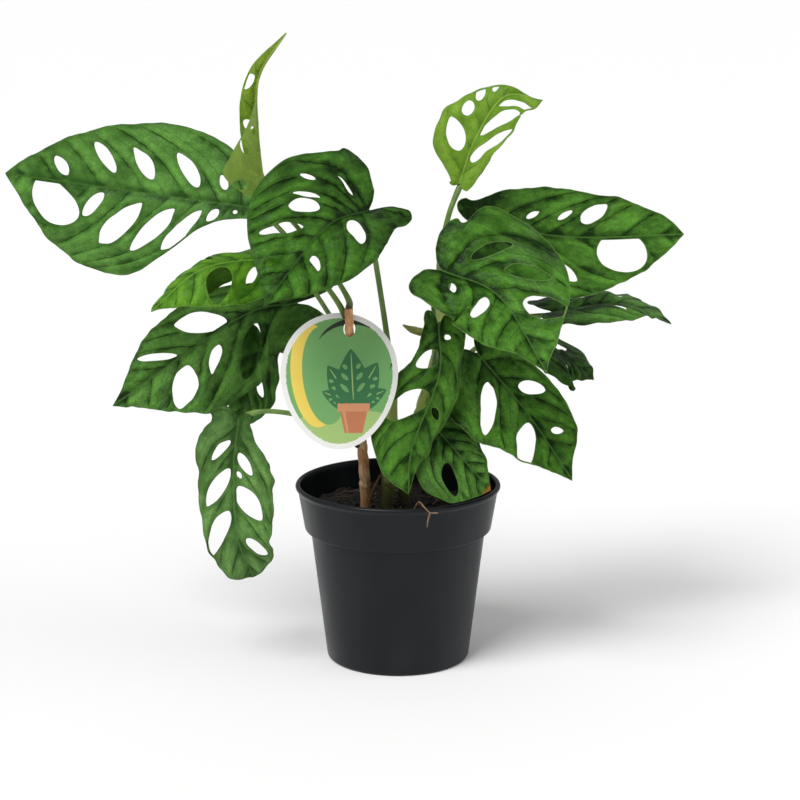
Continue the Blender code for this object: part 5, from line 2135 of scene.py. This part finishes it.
@dataclass
class PlantCard:
    """The egg-shaped plant card, hung on the left stem by its slot, with a plain print."""

    width: float = 65.0
    height: float = 76.0
    thickness: float = 0.8
    taper: float = 0.12
    border: float = 3.0
    bow: float = 0.0003
    spacing: float = 1.0
    print_spacing: float = 0.7
    slot: tuple = (6.6, 9.0)
    slot_place: tuple = (5.6, 29.0)
    slot_at: tuple = (-27.0, -39.4, 203.8)
    lean: float = 15.0

    def egg(self, inset: float, spacing: float = 1.2) -> np.ndarray:
        """Draw the card's outline, or one that runs inside it.

        Args:
            inset: How far inside the outline it runs.
            spacing: The distance between two corners.

        Returns:
            The corners in order.
        """
        turn = np.linspace(0, 2 * math.pi, 361)
        reach = (self.width / 2 - inset) * (1 + self.taper * np.cos(turn))
        ring = np.stack([reach * np.sin(turn), (self.height / 2 - inset) * np.cos(turn)], 1)
        return even(ring, spacing)[:-1]

    def oval(self, place: tuple, sizes: tuple, turned_by: float = 0.0) -> np.ndarray:
        """Draw an oval.

        Args:
            place: Its middle.
            sizes: Its width and height.
            turned_by: How far it is turned, in degrees.

        Returns:
            The corners in order.
        """
        turn = np.linspace(0, 2 * math.pi, 61)
        ring = np.stack([sizes[0] / 2 * np.sin(turn), sizes[1] / 2 * np.cos(turn)], 1)
        return even(ring @ spin(turned_by) + place, self.print_spacing)[:-1]

    def leaf_print(self, foot: tuple, length: float, wide: float, angle: float) -> list:
        """Draw one printed leaf with its rib and holes.

        Args:
            foot: Where it starts.
            length: Its length.
            wide: Its width.
            angle: The way that it points, in degrees from upright.

        Returns:
            Each region's ink and outline.
        """
        t = np.linspace(0, 1, 60)
        side = wide / 2 * np.sin(math.pi * t**0.62) ** 0.8
        ring = np.vstack([np.stack([side, t * length], 1), np.stack([-side, t * length], 1)[-2:0:-1]])
        turn = spin(-angle)
        blade = even(np.vstack([ring, ring[:1]]) @ turn + foot, self.print_spacing)[:-1]
        middle = np.array((0.0, 0.5 * length)) @ turn + foot
        found = [(Ink.DEEP_GREEN, blade)]
        found.append((Ink.PALE_GREEN, self.oval(middle, (0.7, 0.86 * length), -angle)))
        for sign in (-1, 1):
            for place, size in ((0.3, 0.2), (0.5, 0.17), (0.68, 0.11)):
                spot = np.array((sign * 0.24 * wide * (1.15 - 0.5 * place), place * length)) @ turn
                sizes = (0.075 * length, size * length)
                found.append((Ink.GREEN, self.oval(spot + foot, sizes, -angle - sign * 42)))
        return found

    def prints(self) -> list:
        """List the printed regions, each over the ones before it.

        Returns:
            Each region's ink and outline.
        """
        pot = [(3.0, -29.0), (13.0, -29.0), (16.0, -15.0), (0.0, -15.0), (3.0, -29.0)]
        rim = [(-1.0, -17.0), (17.0, -17.0), (17.0, -12.5), (-1.0, -12.5), (-1.0, -17.0)]
        shine = [(1.6, -17.0), (3.4, -17.0), (5.4, -29.0), (4.2, -29.0), (1.6, -17.0)]
        found = [
            (Ink.GREEN, self.egg(self.border)),
            (Ink.PALE_GREEN, self.oval((6.0, -38.0), (90.0, 44.0))),
            (Ink.YELLOW, self.oval((-14.0, 3.0), (26.0, 58.0), 6.0)),
            (Ink.GREEN, self.oval((-8.0, 3.0), (25.0, 55.0), 6.0)),
            (Ink.NIGHT, self.oval((9.0, 16.0), (44.0, 38.0))),
            (Ink.GREEN, self.oval((7.0, 12.5), (44.0, 38.0))),
        ]
        for angle, length in ((-68, 19), (66, 20), (-34, 26), (30, 27), (-3, 31)):
            found += self.leaf_print((8.0, -13.0), length, 0.62 * length, angle)
        for ink, ring in ((Ink.CLAY, pot), (Ink.PALE_CLAY, rim), (Ink.PALE_CLAY, shine)):
            found.append((ink, even(np.array(ring), 0.8)[:-1]))
        return found

    def build(self) -> None:
        """Make the card."""
        inks = list(Ink)
        hole = self.oval(self.slot_place, self.slot)
        outline = self.egg(0.0)
        prints = self.prints()
        extra = np.vstack([ring for _, ring in prints])
        spots, faces = fill([outline, hole], self.spacing, extra)
        middles = spots[faces].mean(1)
        slots = np.zeros(len(faces), int)
        printed = inside(self.egg(self.border), middles)
        for ink, ring in prints:
            slots[inside(ring, middles) & printed] = inks.index(ink)
        lean = math.radians(self.lean)
        across = np.array([1.0, 0.0, 0.0])
        rise = np.array([0.0, math.sin(lean), math.cos(lean)])
        out = np.array([0.0, -math.cos(lean), math.sin(lean)])
        bow = self.bow * spots[:, 0] ** 2
        flat = np.array(self.slot_at) + (spots[:, :1] - self.slot_place[0]) * across
        flat = flat + (spots[:, 1:] - self.slot_place[1]) * rise - out * bow[:, None]
        count = len(spots)
        verts = np.vstack([flat + out * self.thickness / 2, flat - out * self.thickness / 2])
        walls = [(b, a, a + count, b + count) for a, b in open_edges(faces)]
        made = faces.tolist() + (faces[:, ::-1] + count).tolist() + walls
        numbers = slots.tolist() + [0] * (len(faces) + len(walls))
        shape = Shape(verts, made, slots=numbers)
        shape.show("plant_card", [ink.value.material() for ink in inks], Slot.CARD, "tag")


@dataclass
class Studio:
    """The pale floor, the soft lights and the camera at the photograph's angle."""

    place: Point = (0.0012, -1.2109, 0.4294)
    down: float = 12.8
    lens: float = 96.3
    floor: float = 40.0
    sky: float = 0.36
    key: float = 2.5
    side: float = 0.5

    def light(self, name: str, way: Point, power: float, spread: float) -> None:
        """Add a far soft light that is even over the whole floor.

        Args:
            name: The light's name.
            way: The way to it.
            power: Its strength.
            spread: How wide it is in the sky, in degrees.
        """
        lamp = bpy.data.lights.new(name, "SUN")
        lamp.energy = power
        lamp.angle = math.radians(spread)
        thing = bpy.data.objects.new(name, lamp)
        thing.rotation_euler = Vector(way).to_track_quat("Z", "Y").to_euler()
        bpy.context.scene.collection.objects.link(thing)

    def surround(self) -> bpy.types.World:
        """Make the sky: an even soft light, and white where the camera looks past the floor.

        Returns:
            The sky.
        """
        world = bpy.data.worlds.new("studio")
        world.use_nodes = True
        g = Graph(world.node_tree)
        seen = g.node("ShaderNodeLightPath").outputs["Is Camera Ray"]
        strength = g.supply(g.node("ShaderNodeMapRange"), Value=seen, To_Min=self.sky, To_Max=1.0)
        sky = world.node_tree.nodes["Background"]
        g.supply(sky, Color=(1.0, 1.0, 1.0), Strength=strength["Result"])
        return world

    def build(self) -> None:
        """Set up the studio."""
        scene = bpy.context.scene
        half = self.floor / 2
        mesh = bpy.data.meshes.new("studio_floor")
        corners = [(-half, -half, 0), (half, -half, 0), (half, half, 0), (-half, half, 0)]
        mesh.from_pydata(corners, [], [(0, 1, 2, 3)])
        mesh.materials.append(FloorFinish("studio floor", (0.95, 0.95, 0.948)).material())
        floor = bpy.data.objects.new("studio_floor", mesh)
        scene.collection.objects.link(floor)
        floor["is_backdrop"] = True
        scene.world = self.surround()
        self.light("key", (-0.45, -0.6, 1.0), self.key, 32.0)
        self.light("side", (0.9, -0.25, 0.7), self.side, 50.0)
        scene.view_settings.view_transform = "Standard"
        lens = bpy.data.cameras.new("camera")
        lens.lens = self.lens
        lens.sensor_width = 36.0
        camera = bpy.data.objects.new("camera", lens)
        camera.location = self.place
        camera.rotation_euler = (math.radians(90 - self.down), 0.0, 0.0)
        scene.collection.objects.link(camera)
        scene.camera = camera


@dataclass
class Vine:
    """The whole plant above the soil."""

    leaves: tuple = LEAVES
    seed_start: float = 3.0
    seed_step: float = 13.7

    def build(self) -> None:
        """Make the stems, the bud and the leaves."""
        bark = BarkFinish("stem bark", (0.2, 0.1, 0.045), (0.85, 0.58, 0.32), (0.6, 0.28, 0.11))
        sheath = StemFinish(
            "green stem", (0.2, 0.31, 0.05), (0.42, 0.52, 0.13), (0.34, 0.24, 0.1), foot=56.0,
        )
        shoots = (
            Shoot("left", bark, Slot.BARK, ((38, 0.5), (72, 0.6), (108, 0.5), (132, 0.6))),
            Shoot("middle", sheath, Slot.GREEN_STEM, ((40, 0.3),), 0.12, 0.7),
            Shoot("right", sheath, Slot.GREEN_STEM, ((42, 0.3), (80, 0.3)), 0.12, 0.6),
        )
        for shoot in shoots:
            shoot.build()
        Bud().build(StemFinish("bud skin", (0.2, 0.25, 0.05), (0.36, 0.38, 0.1), (0.28, 0.13, 0.05)))
        stalk = StemFinish("petiole", (0.07, 0.15, 0.022), (0.2, 0.32, 0.06), (0.2, 0.16, 0.05))
        stalk = stalk.material()
        for number, leaf in enumerate(self.leaves):
            tissue, look = LEAF_LOOKS[leaf.name]
            finish = replace(tissue.value, **ALTERED.get(leaf.name, {}))
            made = finish.material(self.seed_start + self.seed_step * number)
            slot = LEAF_SLOTS.get(tissue, Slot.LEAF)
            Foliage(leaf, made, stalk, slot, look, seed=number + 0.5).build()
        dry = BarkFinish("dry root", (0.12, 0.065, 0.03), (0.42, 0.27, 0.14), (0.26, 0.14, 0.06), 0.25)
        hook = (
            (4, -44, 90), (8, -50, 100), (11.3, -54, 107.5), (12.9, -58, 108.2), (15.1, -60.8, 106.4),
            (17.9, -61.6, 103.9), (22.4, -61.4, 103.6),
        )
        fork = ((17.9, -61.6, 103.9), (16.8, -61.6, 99.6), (16.3, -61.2, 95.4))
        stub = ((-18.7, -3, 88), (-15.1, -3, 100), (-11.1, -3, 108.3), (-9, -4, 112))
        Twig("dry_root", (hook, fork), 0.5, 0.25).build(dry)
        Twig("dry_stalk", (stub,)).build(dry)


def main() -> None:
    """Build the studio, the pot, the soil, the vine and the card."""
    logging.basicConfig(level=logging.INFO, format="%(name)s %(message)s")
    Studio().build()
    pot = NurseryPot()
    pot.build()
    PottingSoil(pot).build()
    Vine().build()
    PlantCard().build()
    boxes = {"cad": CAD_BOX, "visual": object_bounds()}
    boxes = {name: [list(corner) for corner in box] for name, box in boxes.items()}


if __name__ == "__main__":
    main()
